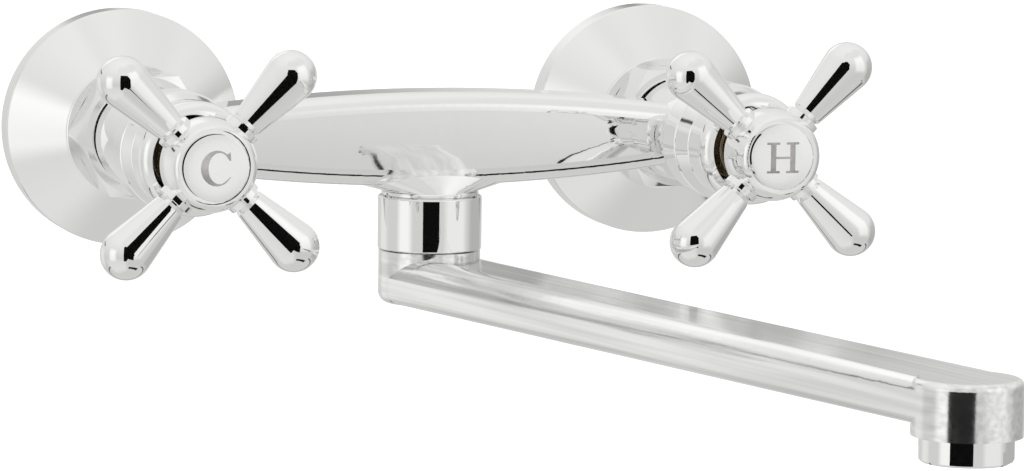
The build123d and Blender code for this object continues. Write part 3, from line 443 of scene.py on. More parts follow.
class FAUCET_OT_chrome(Operator):
    """Plate the body, spout, rosettes, nuts, bells, handles and caps with polished chrome"""

    bl_idname = "faucet.chrome"
    bl_label = "Plate the Visible Pieces"

    def execute(self, context):
        """Give the castings a buffed chrome and the turned pieces a turned one."""
        settings = context.scene.faucet.finish
        cast = self.plate(settings, "Buffed Chrome Casting")
        polish = cast.surface(tree_effect(hand_polish), cast.place, "Ripple Scale", 60.0)
        blur = settings.chrome_roughness
        cast.vary_roughness(polish["Dullness"], blur * 0.6, blur * 1.4)
        cast.raise_height(polish["Height"], 0.00001)
        cast.coat([frame["nodes"][name] for name in ("body_casting", *side_nodes("handle"))])

        drawn = self.plate(settings, "Drawn Chrome Spout with Painted Streaks")
        swivel = frame["joints"][0]["pos_m"]
        stretch = 60.0
        along = drawn.mapped(
            Location=swivel, Rotation=(0.0, 0.0, SPOUT_REST_TURN), Scale=(1.0, stretch, 1.0),
        )
        polish = drawn.surface(tree_effect(hand_polish), along, "Ripple Scale", 700.0)
        # Painted reflection: lighter and darker lengthwise streaks laid into the spout's chrome colour,
        # following the same ripple that bumps it.
        drawn.vary_color(
            polish["Height"], shade(settings.chrome_color, 0.84), shade(settings.chrome_color, 1.06),
        )
        drawn.vary_roughness(polish["Dullness"], 0.06, 0.24)
        drawn.raise_height(polish["Height"], 0.00002)
        drawn.coat([frame["nodes"]["spout"]])

        turned = self.plate(settings, "Turned Chrome by the Inlets")
        self.turn(turned, turned.turned_about(), settings)
        turned.coat([frame["nodes"][n] for n in side_nodes("bell", "index_cap")])

        brushed = self.plate(settings, "Softly Turned Chrome by the Wall")
        self.turn(brushed, brushed.turned_about(), settings, 2.6)
        brushed.coat([frame["nodes"][n] for n in side_nodes("rosette", "union_nut")])

        nut = self.plate(settings, "Turned Chrome Swivel Nut")
        self.turn(nut, self.upright(nut, *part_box("spout_nut")), settings)
        nut.coat([frame["nodes"]["spout_nut"]])

        housing = self.plate(settings, "Turned Chrome Aerator")
        self.turn(housing, self.upright(housing, *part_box("aerator_housing")), settings)
        housing.coat([frame["nodes"]["aerator_housing"]])
        return {"FINISHED"}

    @staticmethod
    def upright(chrome, low, high):
        """Place of a surface turned about the upright axis through the middle of its box."""
        middle = (low + high) / 2
        return chrome.mapped(Location=(middle.x, middle.y, 0.0), Rotation=(math.radians(90), 0.0, 0.0))

    @staticmethod
    def plate(settings, name):
        """Plain chrome, ready for its surface effects."""
        return Finish(name, settings.chrome_color, settings.chrome_roughness, 1.0)

    @staticmethod
    def turn(chrome, place, settings, dullness=1.0):
        """Lathe marks that show faintly through the plating."""
        blur = settings.chrome_roughness * dullness
        marks = chrome.surface(tree_effect(lathe_marks), place, "Marks per Metre", 900.0)
        chrome.vary_roughness(marks["Tone"], blur * 0.6, blur * 1.6)
        chrome.raise_height(marks["Height"], 0.0000008)


class FAUCET_OT_brass(Operator):
    """Finish the turned brass pieces inside and behind the body"""

    bl_idname = "faucet.brass"
    bl_label = "Turn the Brass Pieces"

    def execute(self, context):
        """Lathe marks and a little tarnish over bare brass, and a darker copy of it as painted shade for
        the pieces deep in the recess.
        """
        color = context.scene.faucet.finish.brass_color
        brass = Finish("Machined Brass", color, 0.28, 1.0)
        marks = brass.surface(tree_effect(lathe_marks), brass.turned_about(), "Marks per Metre", 2600.0)
        brass.vary_color(marks["Tone"], shade(color, 0.72), shade(color, 1.1))
        brass.vary_roughness(marks["Tone"], 0.36, 0.2)
        brass.raise_height(marks["Height"], 0.000006)
        brass.coat([frame["nodes"][n] for n in side_nodes("inlet_nipple", "s_union")])

        # Painted shade: the headwork and spindle sit deep in the recess, so they get a copy of the brass
        # darkened to about a third.
        shaded_brass = Finish("Greased Brass", shade(color, 0.3), 0.35, 1.0)
        marks = shaded_brass.surface(tree_effect(lathe_marks), shaded_brass.turned_about(), "Marks per Metre", 2600.0)
        shaded_brass.vary_color(marks["Tone"], shade(color, 0.16), shade(color, 0.42))
        shaded_brass.vary_roughness(marks["Tone"], 0.45, 0.25)
        shaded_brass.raise_height(marks["Height"], 0.000006)
        shaded_brass.coat([frame["nodes"][n] for n in side_nodes("headwork_body", "spindle")])
        return {"FINISHED"}


class FAUCET_OT_seals(Operator):
    """Finish the O-rings, seals, gaskets and washers"""

    bl_idname = "faucet.seals"
    bl_label = "Mould the Seals"

    def execute(self, context):
        """Dull black rubber with a faint bloom, and a browner pressed fibre for the gaskets."""
        color = context.scene.faucet.finish.rubber_color
        rubber = Finish("Nitrile Rubber", color, 0.55)
        grain = rubber.surface(tree_effect(moulded_grain), rubber.place, "Grain Scale", 2200.0)
        rubber.vary_color(grain["Tone"], shade(color, 0.7), shade(color, 2.2))
        rubber.vary_roughness(grain["Tone"], 0.45, 0.75)
        rubber.raise_height(grain["Height"], 0.00001)
        rings = side_nodes("seat_seal", "headwork_oring", "spindle_orings")
        rubber.coat([frame["nodes"][name] for name in (*rings, "spout_orings", "aerator_washer")])

        fibre = Finish("Pressed Fibre", (0.10, 0.085, 0.07), 0.8)
        grain = fibre.surface(tree_effect(moulded_grain), fibre.place, "Grain Scale", 900.0)
        fibre.vary_color(grain["Tone"], (0.05, 0.042, 0.035), (0.17, 0.145, 0.12))
        fibre.vary_roughness(grain["Tone"], 0.7, 0.95)
        fibre.raise_height(grain["Height"], 0.00006)
        fibre.coat([frame["nodes"][name] for name in side_nodes("inlet_gasket")])
        return {"FINISHED"}


class FAUCET_OT_small_parts(Operator):
    """Finish the ceramic discs, steel clips and screws, and plastic rings"""

    bl_idname = "faucet.small_parts"
    bl_label = "Finish the Small Parts"

    def execute(self, context):
        """Lapped ceramic, brushed steel and moulded acetal."""
        settings = context.scene.faucet.finish
        ceramic = Finish("Lapped Ceramic", (0.87, 0.87, 0.84), 0.2)
        grain = ceramic.surface(tree_effect(moulded_grain), ceramic.place, "Grain Scale", 3500.0)
        ceramic.vary_color(grain["Tone"], (0.80, 0.80, 0.77), (0.90, 0.90, 0.87))
        ceramic.vary_roughness(grain["Tone"], 0.12, 0.3)
        ceramic.raise_height(grain["Height"], 0.000001)
        ceramic.coat([frame["nodes"][name] for name in side_nodes("fixed_disc", "turning_disc")])

        color = settings.steel_color
        steel = Finish("Stainless Steel", color, 0.3, 1.0)
        marks = steel.surface(tree_effect(lathe_marks), steel.turned_about(), "Marks per Metre", 4000.0)
        steel.vary_color(marks["Tone"], shade(color, 0.8), shade(color, 1.15))
        steel.vary_roughness(marks["Tone"], 0.38, 0.22)
        steel.raise_height(marks["Height"], 0.000003)
        steel.coat([frame["nodes"][name] for name in side_nodes("spindle_clip", "handle_screw")])

        color = settings.acetal_color
        acetal = Finish("White Acetal", color, 0.42)
        grain = acetal.surface(tree_effect(moulded_grain), acetal.place, "Grain Scale", 1500.0)
        acetal.vary_color(grain["Tone"], shade(color, 0.92), shade(color, 1.05))
        acetal.vary_roughness(grain["Tone"], 0.34, 0.52)
        acetal.raise_height(grain["Height"], 0.000008)
        rings = ("spout_slip_ring", "spout_split_ring", "aerator_insert")
        acetal.coat([frame["nodes"][name] for name in rings])
        return {"FINISHED"}


# Geometry Nodes


class Builder:
    """A Geometry Nodes tree with named inputs, run once on an empty mesh."""

    def __init__(self, name, inputs):
        self.tree = bpy.data.node_groups.new(name, "GeometryNodeTree")
        self.identifiers = {}
        for label, kind in inputs.items():
            socket = self.tree.interface.new_socket(label, in_out="INPUT", socket_type=kind)
            self.identifiers[label] = socket.identifier
        self.tree.interface.new_socket("Geometry", in_out="OUTPUT", socket_type="NodeSocketGeometry")
        self.given = node(self.tree, "NodeGroupInput").outputs

    def close(self, geometry, material):
        """End the tree: real geometry with its material."""
        real = node(self.tree, "GeometryNodeRealizeInstances")
        painted = node(self.tree, "GeometryNodeSetMaterial")
        result = node(self.tree, "NodeGroupOutput")
        join(self.tree, geometry, real.inputs["Geometry"])
        join(self.tree, real.outputs[0], painted.inputs["Geometry"])
        join(self.tree, material, painted.inputs["Material"])
        join(self.tree, painted.outputs[0], result.inputs["Geometry"])

    def run(self, name, values):
        """Plain mesh that the tree gives for a set of input values."""
        carrier = bpy.data.objects.new(name, bpy.data.meshes.new(name))
        bpy.context.scene.collection.objects.link(carrier)
        modifier = carrier.modifiers.new(self.tree.name, "NODES")
        modifier.node_group = self.tree
        for label, value in values.items():
            modifier[self.identifiers[label]] = value
        carrier.update_tag()
        settled = carrier.evaluated_get(bpy.context.evaluated_depsgraph_get())
        mesh = bpy.data.meshes.new_from_object(settled)
        mesh.name = name
        carrier.modifiers.remove(modifier)
        bpy.data.objects.remove(carrier)
        return mesh


def thread_builder():
    """Right-hand thread ridge that runs along +Y from a start, fading out at both ends."""
    build = Builder("Pipe Thread", {
        "Crest Radius": "NodeSocketFloat", "Depth": "NodeSocketFloat", "Pitch": "NodeSocketFloat",
        "Start": "NodeSocketVector", "Length": "NodeSocketFloat", "Material": "NodeSocketMaterial",
    })
    tree, given = build.tree, build.given
    sunk = arithmetic(tree, "MULTIPLY", given["Depth"], 0.1)
    root = arithmetic(tree, "SUBTRACT", given["Crest Radius"], given["Depth"])
    core = arithmetic(tree, "SUBTRACT", root, sunk)
    turns = arithmetic(tree, "DIVIDE", given["Length"], given["Pitch"])
    helix = node(tree, "GeometryNodeCurveSpiral", {"Resolution": 40, "Reverse": True})
    join(tree, turns, helix.inputs["Rotations"])
    join(tree, core, helix.inputs["Start Radius"])
    join(tree, core, helix.inputs["End Radius"])
    join(tree, given["Length"], helix.inputs["Height"])
    upright = node(tree, "GeometryNodeSetCurveNormal", mode="Z_UP")
    join(tree, helix.outputs[0], upright.inputs["Curve"])

    # The ridge's section: wide at its root, narrow at its crest
    full = arithmetic(tree, "ADD", given["Depth"], sunk)
    section = node(tree, "GeometryNodeCurvePrimitiveQuadrilateral", {"Offset": 0.0}, mode="TRAPEZOID")
    join(tree, full, section.inputs["Height"])
    join(tree, arithmetic(tree, "MULTIPLY", given["Pitch"], 0.86), section.inputs["Bottom Width"])
    join(tree, arithmetic(tree, "MULTIPLY", given["Pitch"], 0.24), section.inputs["Top Width"])
    stood = node(tree, "GeometryNodeTransform")
    lifted = node(tree, "ShaderNodeCombineXYZ")
    join(tree, arithmetic(tree, "MULTIPLY", full, 0.5), lifted.inputs["Y"])
    join(tree, section.outputs[0], stood.inputs["Geometry"])
    join(tree, lifted.outputs[0], stood.inputs["Translation"])
    turned = node(tree, "GeometryNodeTransform", {"Rotation": (0.0, 0.0, -math.pi / 2)})
    join(tree, stood.outputs[0], turned.inputs["Geometry"])

    # Half a turn of run-out at each end
    along = node(tree, "GeometryNodeSplineParameter").outputs["Factor"]
    mirrored = arithmetic(tree, "SUBTRACT", 1.0, along)
    nearest = arithmetic(tree, "MULTIPLY", arithmetic(tree, "MINIMUM", along, mirrored), turns)
    run_out = arithmetic(tree, "MULTIPLY_ADD", nearest, 1.8, 0.1)
    swept = node(tree, "GeometryNodeCurveToMesh", {"Fill Caps": True})
    join(tree, upright.outputs[0], swept.inputs["Curve"])
    join(tree, turned.outputs[0], swept.inputs["Profile Curve"])
    join(tree, arithmetic(tree, "MINIMUM", run_out, 1.0), swept.inputs["Scale"])
    placed = node(tree, "GeometryNodeTransform", {"Rotation": (-math.pi / 2, 0.0, 0.0)})
    join(tree, swept.outputs[0], placed.inputs["Geometry"])
    join(tree, given["Start"], placed.inputs["Translation"])
    build.close(placed.outputs[0], given["Material"])
    return build


def screen_builder():
    """Round piece of plain-woven wire cloth in a level plane."""
    build = Builder("Woven Screen", {
        "Centre": "NodeSocketVector", "Radius": "NodeSocketFloat", "Pitch": "NodeSocketFloat",
        "Wire": "NodeSocketFloat", "Material": "NodeSocketMaterial",
    })
    tree, given = build.tree, build.given
    count = arithmetic(tree, "FLOOR", arithmetic(tree, "DIVIDE", given["Radius"], given["Pitch"]))
    across = arithmetic(tree, "MULTIPLY_ADD", count, 2.0, 1.0)
    reach = arithmetic(tree, "MULTIPLY", count, given["Pitch"])
    steps = arithmetic(tree, "MULTIPLY_ADD", count, 8.0, 1.0)

    # One straight wire, copied side by side, then bent over and under its neighbours
    ends = []
    for sign in (-1.0, 1.0):
        end = node(tree, "ShaderNodeCombineXYZ")
        join(tree, arithmetic(tree, "MULTIPLY", reach, sign), end.inputs["X"])
        ends.append(end.outputs[0])
    wire = node(tree, "GeometryNodeCurvePrimitiveLine")
    join(tree, ends[0], wire.inputs["Start"])
    join(tree, ends[1], wire.inputs["End"])
    divided = node(tree, "GeometryNodeResampleCurve")
    join(tree, wire.outputs[0], divided.inputs["Curve"])
    join(tree, steps, divided.inputs["Count"])
    first = node(tree, "ShaderNodeCombineXYZ")
    join(tree, arithmetic(tree, "MULTIPLY", reach, -1.0), first.inputs["Y"])
    offset = node(tree, "ShaderNodeCombineXYZ")
    join(tree, given["Pitch"], offset.inputs["Y"])
    row = node(tree, "GeometryNodeMeshLine")
    join(tree, across, row.inputs["Count"])
    join(tree, first.outputs[0], row.inputs["Start Location"])
    join(tree, offset.outputs[0], row.inputs["Offset"])
    copies = node(tree, "GeometryNodeInstanceOnPoints")
    join(tree, row.outputs[0], copies.inputs["Points"])
    join(tree, divided.outputs[0], copies.inputs["Instance"])
    laid = node(tree, "GeometryNodeRealizeInstances")
    join(tree, copies.outputs[0], laid.inputs["Geometry"])

    spot = node(tree, "ShaderNodeSeparateXYZ")
    join(tree, node(tree, "GeometryNodeInputPosition").outputs[0], spot.inputs[0])
    column = arithmetic(tree, "DIVIDE", spot.outputs["X"], given["Pitch"])
    line = arithmetic(tree, "DIVIDE", spot.outputs["Y"], given["Pitch"])
    phase = arithmetic(tree, "MULTIPLY", arithmetic(tree, "ADD", column, line), math.pi)
    wave = arithmetic(tree, "MULTIPLY", arithmetic(tree, "COSINE", phase), 0.5)
    rise = node(tree, "ShaderNodeCombineXYZ")
    join(tree, arithmetic(tree, "MULTIPLY", wave, given["Wire"]), rise.inputs["Z"])
    bent = node(tree, "GeometryNodeSetPosition")
    join(tree, laid.outputs[0], bent.inputs["Geometry"])
    join(tree, rise.outputs[0], bent.inputs["Offset"])

    # Trimmed round, then thickened
    flat = node(tree, "ShaderNodeCombineXYZ")
    join(tree, spot.outputs["X"], flat.inputs["X"])
    join(tree, spot.outputs["Y"], flat.inputs["Y"])
    away = node(tree, "ShaderNodeVectorMath", operation="LENGTH")
    join(tree, flat.outputs[0], away.inputs[0])
    outside = arithmetic(tree, "GREATER_THAN", away.outputs["Value"], given["Radius"])
    trimmed = node(tree, "GeometryNodeDeleteGeometry")
    join(tree, bent.outputs[0], trimmed.inputs["Geometry"])
    join(tree, outside, trimmed.inputs["Selection"])
    section = node(tree, "GeometryNodeCurvePrimitiveCircle", {"Resolution": 6})
    join(tree, arithmetic(tree, "MULTIPLY", given["Wire"], 0.5), section.inputs["Radius"])
    round_wires = node(tree, "GeometryNodeCurveToMesh", {"Fill Caps": True})
    join(tree, trimmed.outputs[0], round_wires.inputs["Curve"])
    join(tree, section.outputs[0], round_wires.inputs["Profile Curve"])

    # The same wires turned a quarter and bent the other way make the weft
    weft = node(tree, "GeometryNodeTransform", {"Rotation": (math.pi, 0.0, math.pi / 2)})
    join(tree, round_wires.outputs[0], weft.inputs["Geometry"])
    both = node(tree, "GeometryNodeJoinGeometry")
    join(tree, weft.outputs[0], both.inputs[0])
    join(tree, round_wires.outputs[0], both.inputs[0])
    placed = node(tree, "GeometryNodeTransform")
    join(tree, both.outputs[0], placed.inputs["Geometry"])
    join(tree, given["Centre"], placed.inputs["Translation"])
    build.close(placed.outputs[0], given["Material"])
    return build


# Wall unions


def turned_shell(rings, steps):
    """Closed mesh skinned over rings of (centre, radius), first ring to last and back."""
    shell = bmesh.new()
    loops = []
    for centre, radius in rings:
        loop = []
        for step in range(steps):
            angle = 2 * math.pi * step / steps
            spot = centre + Vector((math.cos(angle), 0, math.sin(angle))) * radius
            loop.append(shell.verts.new(spot))
        loops.append(loop)
    for near, far in zip(loops, loops[1:] + loops[:1]):
        for step in range(steps):
            after = (step + 1) % steps
            shell.faces.new((near[step], near[after], far[after], far[step]))
    bmesh.ops.recalc_face_normals(shell, faces=shell.faces)
    return shell


class FAUCET_OT_unions(Operator):
    """Model the eccentric wall unions with their pipe threads"""

    bl_idname = "faucet.unions"
    bl_label = "Thread the Wall Unions"

    def execute(self, context):
        """Replace each plain union with a threaded one of the same size."""
        settings = context.scene.faucet.union
        brass = bpy.data.materials["Machined Brass"]
        thread = thread_builder()
        for side in SIDES:
            low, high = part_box(f"s_union_{side}")
            nut_radius = (high.x - low.x) / 2
            nut_axis = Vector((axis_x(side), 0, low.z + nut_radius))
            wall_radius = high.z
            wall_axis = Vector((axis_x(side), 0, 0))
            core = self.core(settings, low, high, wall_axis, wall_radius, nut_axis, nut_radius)
            core.materials.append(brass)
            runs = (
                (wall_axis, wall_radius, -settings.bend_start, high.y),
                (nut_axis, nut_radius, low.y, -settings.bend_start - settings.bend_length),
            )
            joined = bmesh.new()
            joined.from_mesh(core)
            for axis, radius, near, far in runs:
                start = axis + Vector((0, near + settings.pitch, 0))
                ridge = thread.run("union_thread", {
                    "Crest Radius": radius, "Depth": settings.thread_depth, "Pitch": settings.pitch,
                    "Start": start, "Length": far - near - 2 * settings.pitch, "Material": brass,
                })
                joined.from_mesh(ridge)
                bpy.data.meshes.remove(ridge)
            bmesh.ops.recalc_face_normals(joined, faces=joined.faces)
            joined.to_mesh(core)
            joined.free()
            union = in_place(core, f"threaded_union_{side}", "mixer_body")
            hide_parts(f"s_union_{side}")
        return {"FINISHED"}

    @staticmethod
    def core(settings, low, high, wall_axis, wall_radius, nut_axis, nut_radius):
        """Hollow body of a union, at the root of its threads, bent from one axis to the other."""
        root = settings.thread_depth
        bend_near, bend_far = -settings.bend_start, -settings.bend_start - settings.bend_length
        chamfer = root * 0.9

        def ring(axis, y, radius):
            return axis + Vector((0, y, 0)), radius

        rings = [
            ring(wall_axis, high.y, wall_radius - root - chamfer),
            ring(wall_axis, high.y - chamfer, wall_radius - root),
            ring(wall_axis, bend_near + chamfer, wall_radius - root),
            ring(wall_axis, bend_near, wall_radius),
        ]
        bends = 6
        for step in range(1, bends):
            share = step / bends
            eased = share * share * (3 - 2 * share)
            axis = wall_axis.lerp(nut_axis, eased)
            rings.append(ring(axis, bend_near + (bend_far - bend_near) * share,
                              wall_radius + (nut_radius - wall_radius) * eased))
        rings += [
            ring(nut_axis, bend_far, nut_radius),
            ring(nut_axis, bend_far - chamfer, nut_radius - root),
            ring(nut_axis, low.y + chamfer, nut_radius - root),
            ring(nut_axis, low.y, nut_radius - root - chamfer),
            ring(nut_axis, low.y, settings.nut_bore),
            ring(nut_axis, bend_far, settings.nut_bore),
            ring(wall_axis, bend_near, settings.wall_bore),
            ring(wall_axis, high.y, settings.wall_bore),
        ]
        steps_round = 96
        shell = turned_shell(rings, steps_round)
        mesh = bpy.data.meshes.new("union_core")
        shell.to_mesh(mesh)
        shell.free()
        return mesh


# Marks on the handle caps


LONGEST_MARK_EDGE = 0.0005
CROWN_REACH = 0.0008


def ellipse_arc(middle_x, radius_x, radius_y, start, end, steps=40):
    """Points of an elliptic arc between two angles in degrees."""
    points = []
    for step in range(steps + 1):
        angle = math.radians(start + (end - start) * step / steps)
        points.append((middle_x + radius_x * math.cos(angle), radius_y * math.sin(angle)))
    return points


def letter_c(height, stem, hairline):
    """Outline of a plain roman C about its middle, as one list of points."""
    half = height / 2
    bowl = half * 0.92
    opening = 50
    outer = ellipse_arc(0, bowl, half, opening, 360 - opening)
    inner = ellipse_arc(stem * 0.4, bowl - stem * 0.8, half - hairline, 360 - opening * 1.1, opening * 1.1)
    tip_x, tip_y = outer[0]
    upper_barb = [
        (tip_x + hairline * 0.9, half * 0.42),
        (tip_x + hairline * 1.6, half * 0.42),
        (tip_x + hairline * 1.3, half * 0.9),
    ]
    lower_barb = [(tip_x + hairline * 1.8, -half * 0.46), (tip_x + hairline * 1.2, -half * 0.50)]
    return inner + upper_barb + outer + lower_barb


def letter_h(height, stem, hairline):
    """Outline of a plain roman H about its middle, as one list of points."""
    half = height / 2
    middle = height * 0.33
    serif = stem * 1.2
    inner, outer = middle - stem / 2, middle + stem / 2
    under_serif = half - hairline
    upper_right = [
        (inner, hairline / 2), (inner, under_serif),
        (middle - serif, under_serif), (middle - serif, half),
        (middle + serif, half), (middle + serif, under_serif),
        (outer, under_serif),
    ]
    lower_right = [(x, -y) for x, y in reversed(upper_right)]
    right = upper_right + lower_right
    left = [(-x, -y) for x, y in right]
    return right + left


class FAUCET_OT_marks(Operator):
    """Paint the cold and hot marks on the handle caps"""

    bl_idname = "faucet.marks"
    bl_label = "Mark the Caps"

    def execute(self, context):
        """Lay a thin letter over the crowned face of each cap."""
        sizes = context.scene.faucet.mark
        color = context.scene.faucet.finish.mark_color
        paint = Finish("Baked Mark Paint", color, 0.4)
        grain = paint.surface(tree_effect(moulded_grain), paint.place, "Grain Scale", 5000.0)
        paint.vary_color(grain["Tone"], shade(color, 0.8), shade(color, 1.8))
        paint.vary_roughness(grain["Tone"], 0.3, 0.5)
        paint.raise_height(grain["Height"], 0.000004)
        outlines = {
            "left": ("cold_mark", letter_c(sizes.height * 1.12, sizes.stem * 1.1, sizes.hairline)),
            "right": ("hot_mark", letter_h(sizes.height, sizes.stem, sizes.hairline)),
        }
        for side, (name, outline) in outlines.items():
            mesh = self.lay(outline, side, sizes.thickness)
            mesh.materials.append(paint.material)
            in_place(mesh, name, f"handle_{side}_set")

        satin = Finish("Satin Cap Face", context.scene.faucet.finish.chrome_color, 0.2, 1.0)
        marks = satin.surface(tree_effect(lathe_marks), satin.turned_about(), "Marks per Metre", 3000.0)
        satin.vary_roughness(marks["Tone"], 0.16, 0.3)
        satin.raise_height(marks["Height"], 0.000001)
        for side in SIDES:
            low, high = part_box(f"index_cap_{side}")
            radius = (high.x - low.x) * 0.499
            mesh = self.lay(ellipse_arc(0, radius, radius, 0, 357, 119), side, sizes.thickness / 3)
            mesh.materials.append(satin.material)
            for face in mesh.polygons:
                face.use_smooth = face.normal.y < -0.9
            in_place(mesh, f"cap_face_{side}", f"handle_{side}_set")
        return {"FINISHED"}

    @staticmethod
    def lay(outline, side, thickness):
        """Mesh of an outline, bent over the cap's crown and given a thickness into the cap."""
        cap = frame["nodes"][f"index_cap_{side}"].data
        axis = Vector((axis_x(side), 0, HANDLE_AXIS_LEVEL))
        top = min(corner.co.y for corner in cap.vertices)
        rim = [c.co for c in cap.vertices if c.co.y < top + CROWN_REACH]
        rim_radius = max(math.hypot(c.x - axis.x, c.z - axis.z) for c in rim)
        rim_depth = max(c.y for c in rim if math.hypot(c.x - axis.x, c.z - axis.z) > rim_radius * 0.99)
        crown = rim_depth - top
        crown_radius = (rim_radius ** 2 + crown ** 2) / (2 * crown)
        sheet = bmesh.new()
        corners = [sheet.verts.new((x, 0, z)) for x, z in outline]
        rim_edges = [sheet.edges.new(pair) for pair in zip(corners, corners[1:] + corners[:1])]
        bmesh.ops.triangle_fill(sheet, edges=rim_edges, use_beauty=True)
        for _ in range(6):
            long_edges = [edge for edge in sheet.edges if edge.calc_length() > LONGEST_MARK_EDGE]
            if not long_edges:
                break
            bmesh.ops.subdivide_edges(sheet, edges=long_edges, cuts=1)
            bmesh.ops.triangulate(sheet, faces=sheet.faces)
        solid = bmesh.ops.extrude_face_region(sheet, geom=sheet.faces[:])
        raised = {item for item in solid["geom"] if isinstance(item, bmesh.types.BMVert)}
        for corner in sheet.verts:
            away = math.hypot(corner.co.x, corner.co.z)
            sink = crown_radius - math.sqrt(crown_radius ** 2 - away ** 2)
            lift = -thickness if corner in raised else thickness * 2
            corner.co = axis + Vector((corner.co.x, top + sink + lift, corner.co.z))
        bmesh.ops.recalc_face_normals(sheet, faces=sheet.faces)
        mesh = bpy.data.meshes.new("cap_mark")
        sheet.to_mesh(mesh)
        sheet.free()
        return mesh


# Outlet screen


class FAUCET_OT_screen(Operator):
    """Weave the wire screen inside the aerator"""

    bl_idname = "faucet.screen"
    bl_label = "Weave the Outlet Screen"

    def execute(self, context):
        """Lay the screen over the grille of the aerator's insert."""
        sizes = context.scene.faucet.screen
        color = context.scene.faucet.finish.steel_color
        wire = Finish("Woven Steel Wire", color, 0.25, 1.0)
        grain = wire.surface(tree_effect(moulded_grain), wire.place, "Grain Scale", 4000.0)
        wire.vary_color(grain["Tone"], shade(color, 0.75), shade(color, 1.2))
        wire.vary_roughness(grain["Tone"], 0.2, 0.42)
        low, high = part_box("aerator_insert")
        centre = Vector(((low.x + high.x) / 2, (low.y + high.y) / 2, low.z + sizes.lift))
        mesh = screen_builder().run("outlet_screen", {
            "Centre": centre, "Radius": (high.x - low.x) / 2 - sizes.rim, "Pitch": sizes.pitch,
            "Wire": sizes.wire, "Material": wire.material,
        })
        for face in mesh.polygons:
            face.use_smooth = True
        in_place(mesh, "outlet_screen", "spout_set")
        return {"FINISHED"}


# Studio


def studio_patch():
    """Soft-edged patch of the studio at an azimuth and a height, for flags and soft boxes."""
    tree, given, result = effect(
        "Studio Patch",
        [
            ("Azimuth", 0.0), ("Height", 0.0), ("Middle Azimuth", 0.0), ("Middle Height", 0.0),
            ("Half Width", 10.0), ("Half Height", 10.0), ("Softness", 3.0),
        ],
        ["Mask"],
    )
    masks = []
    for way in ("Azimuth", "Height"):
        extent = "Half Width" if way == "Azimuth" else "Half Height"
        away = arithmetic(tree, "SUBTRACT", given[way], given[f"Middle {way}"])
        away = arithmetic(tree, "WRAP", away, 180.0, -180.0)
        beyond = arithmetic(tree, "SUBTRACT", arithmetic(tree, "ABSOLUTE", away), given[extent])
        eased = node(
            tree, "ShaderNodeMapRange", {"To Min": 1.0, "To Max": 0.0}, interpolation_type="SMOOTHSTEP",
        )
        join(tree, beyond, eased.inputs["Value"])
        join(tree, arithmetic(tree, "MULTIPLY", given["Softness"], -1.0), eased.inputs["From Min"])
        join(tree, given["Softness"], eased.inputs["From Max"])
        masks.append(eased.outputs[0])
    join(tree, arithmetic(tree, "MULTIPLY", masks[0], masks[1]), result["Mask"])
    return tree


DOME_TONES = ((-90, 0.65), (-52, 0.67), (-30, 0.63), (-7, 0.68), (22, 0.81), (52, 0.90), (90, 0.94))
PANEL_SIZES = ("Middle Azimuth", "Middle Height", "Half Width", "Half Height", "Softness")
SOFT_BOXES = (
    # The panel's sizes in degrees, then its change of brightness
    (-74, 0, 15, 20, 8, 0.32),
    (-60, -45, 50, 26, 12, 0.14),
    (44, 14, 24, 28, 8, 0.22),
    (30, 60, 70, 14, 8, -0.07),
    (108, -8, 26, 24, 10, -0.20),
    (35, -54, 32, 4.5, 1.5, -0.66),
    (165, -40, 90, 1.4, 1.4, -0.64),
    (168, 9, 9, 3.5, 2, -0.36),
    (159, 9, 4, 3.5, 4, -0.14),
    (-140, -10, 14, 16, 8, 0.16),
    (-172, 28, 16, 12, 6, 0.20),
    (-142, 17, 12, 1.6, 1.2, -0.7),
)
CARD_DEPTH = -0.45
CARD_GLOW = 0.74
CAP_CARD_GLOW = 0.86
CAP_CARD_GAP = 0.012
CAP_CARD_SHIFT = Vector((0.0028, 0, -0.0013))
# Corners across and up
UPPER_CARD = ((-0.24, -0.045), (0.045, -0.045), (0.045, 0.12), (-0.03, 0.22), (-0.24, 0.25))
LOWER_CARD = (
    (-0.24, -0.19), (-0.17, -0.19), (-0.12, -0.11), (0.035, -0.16), (0.035, -0.045), (-0.24, -0.045),
)


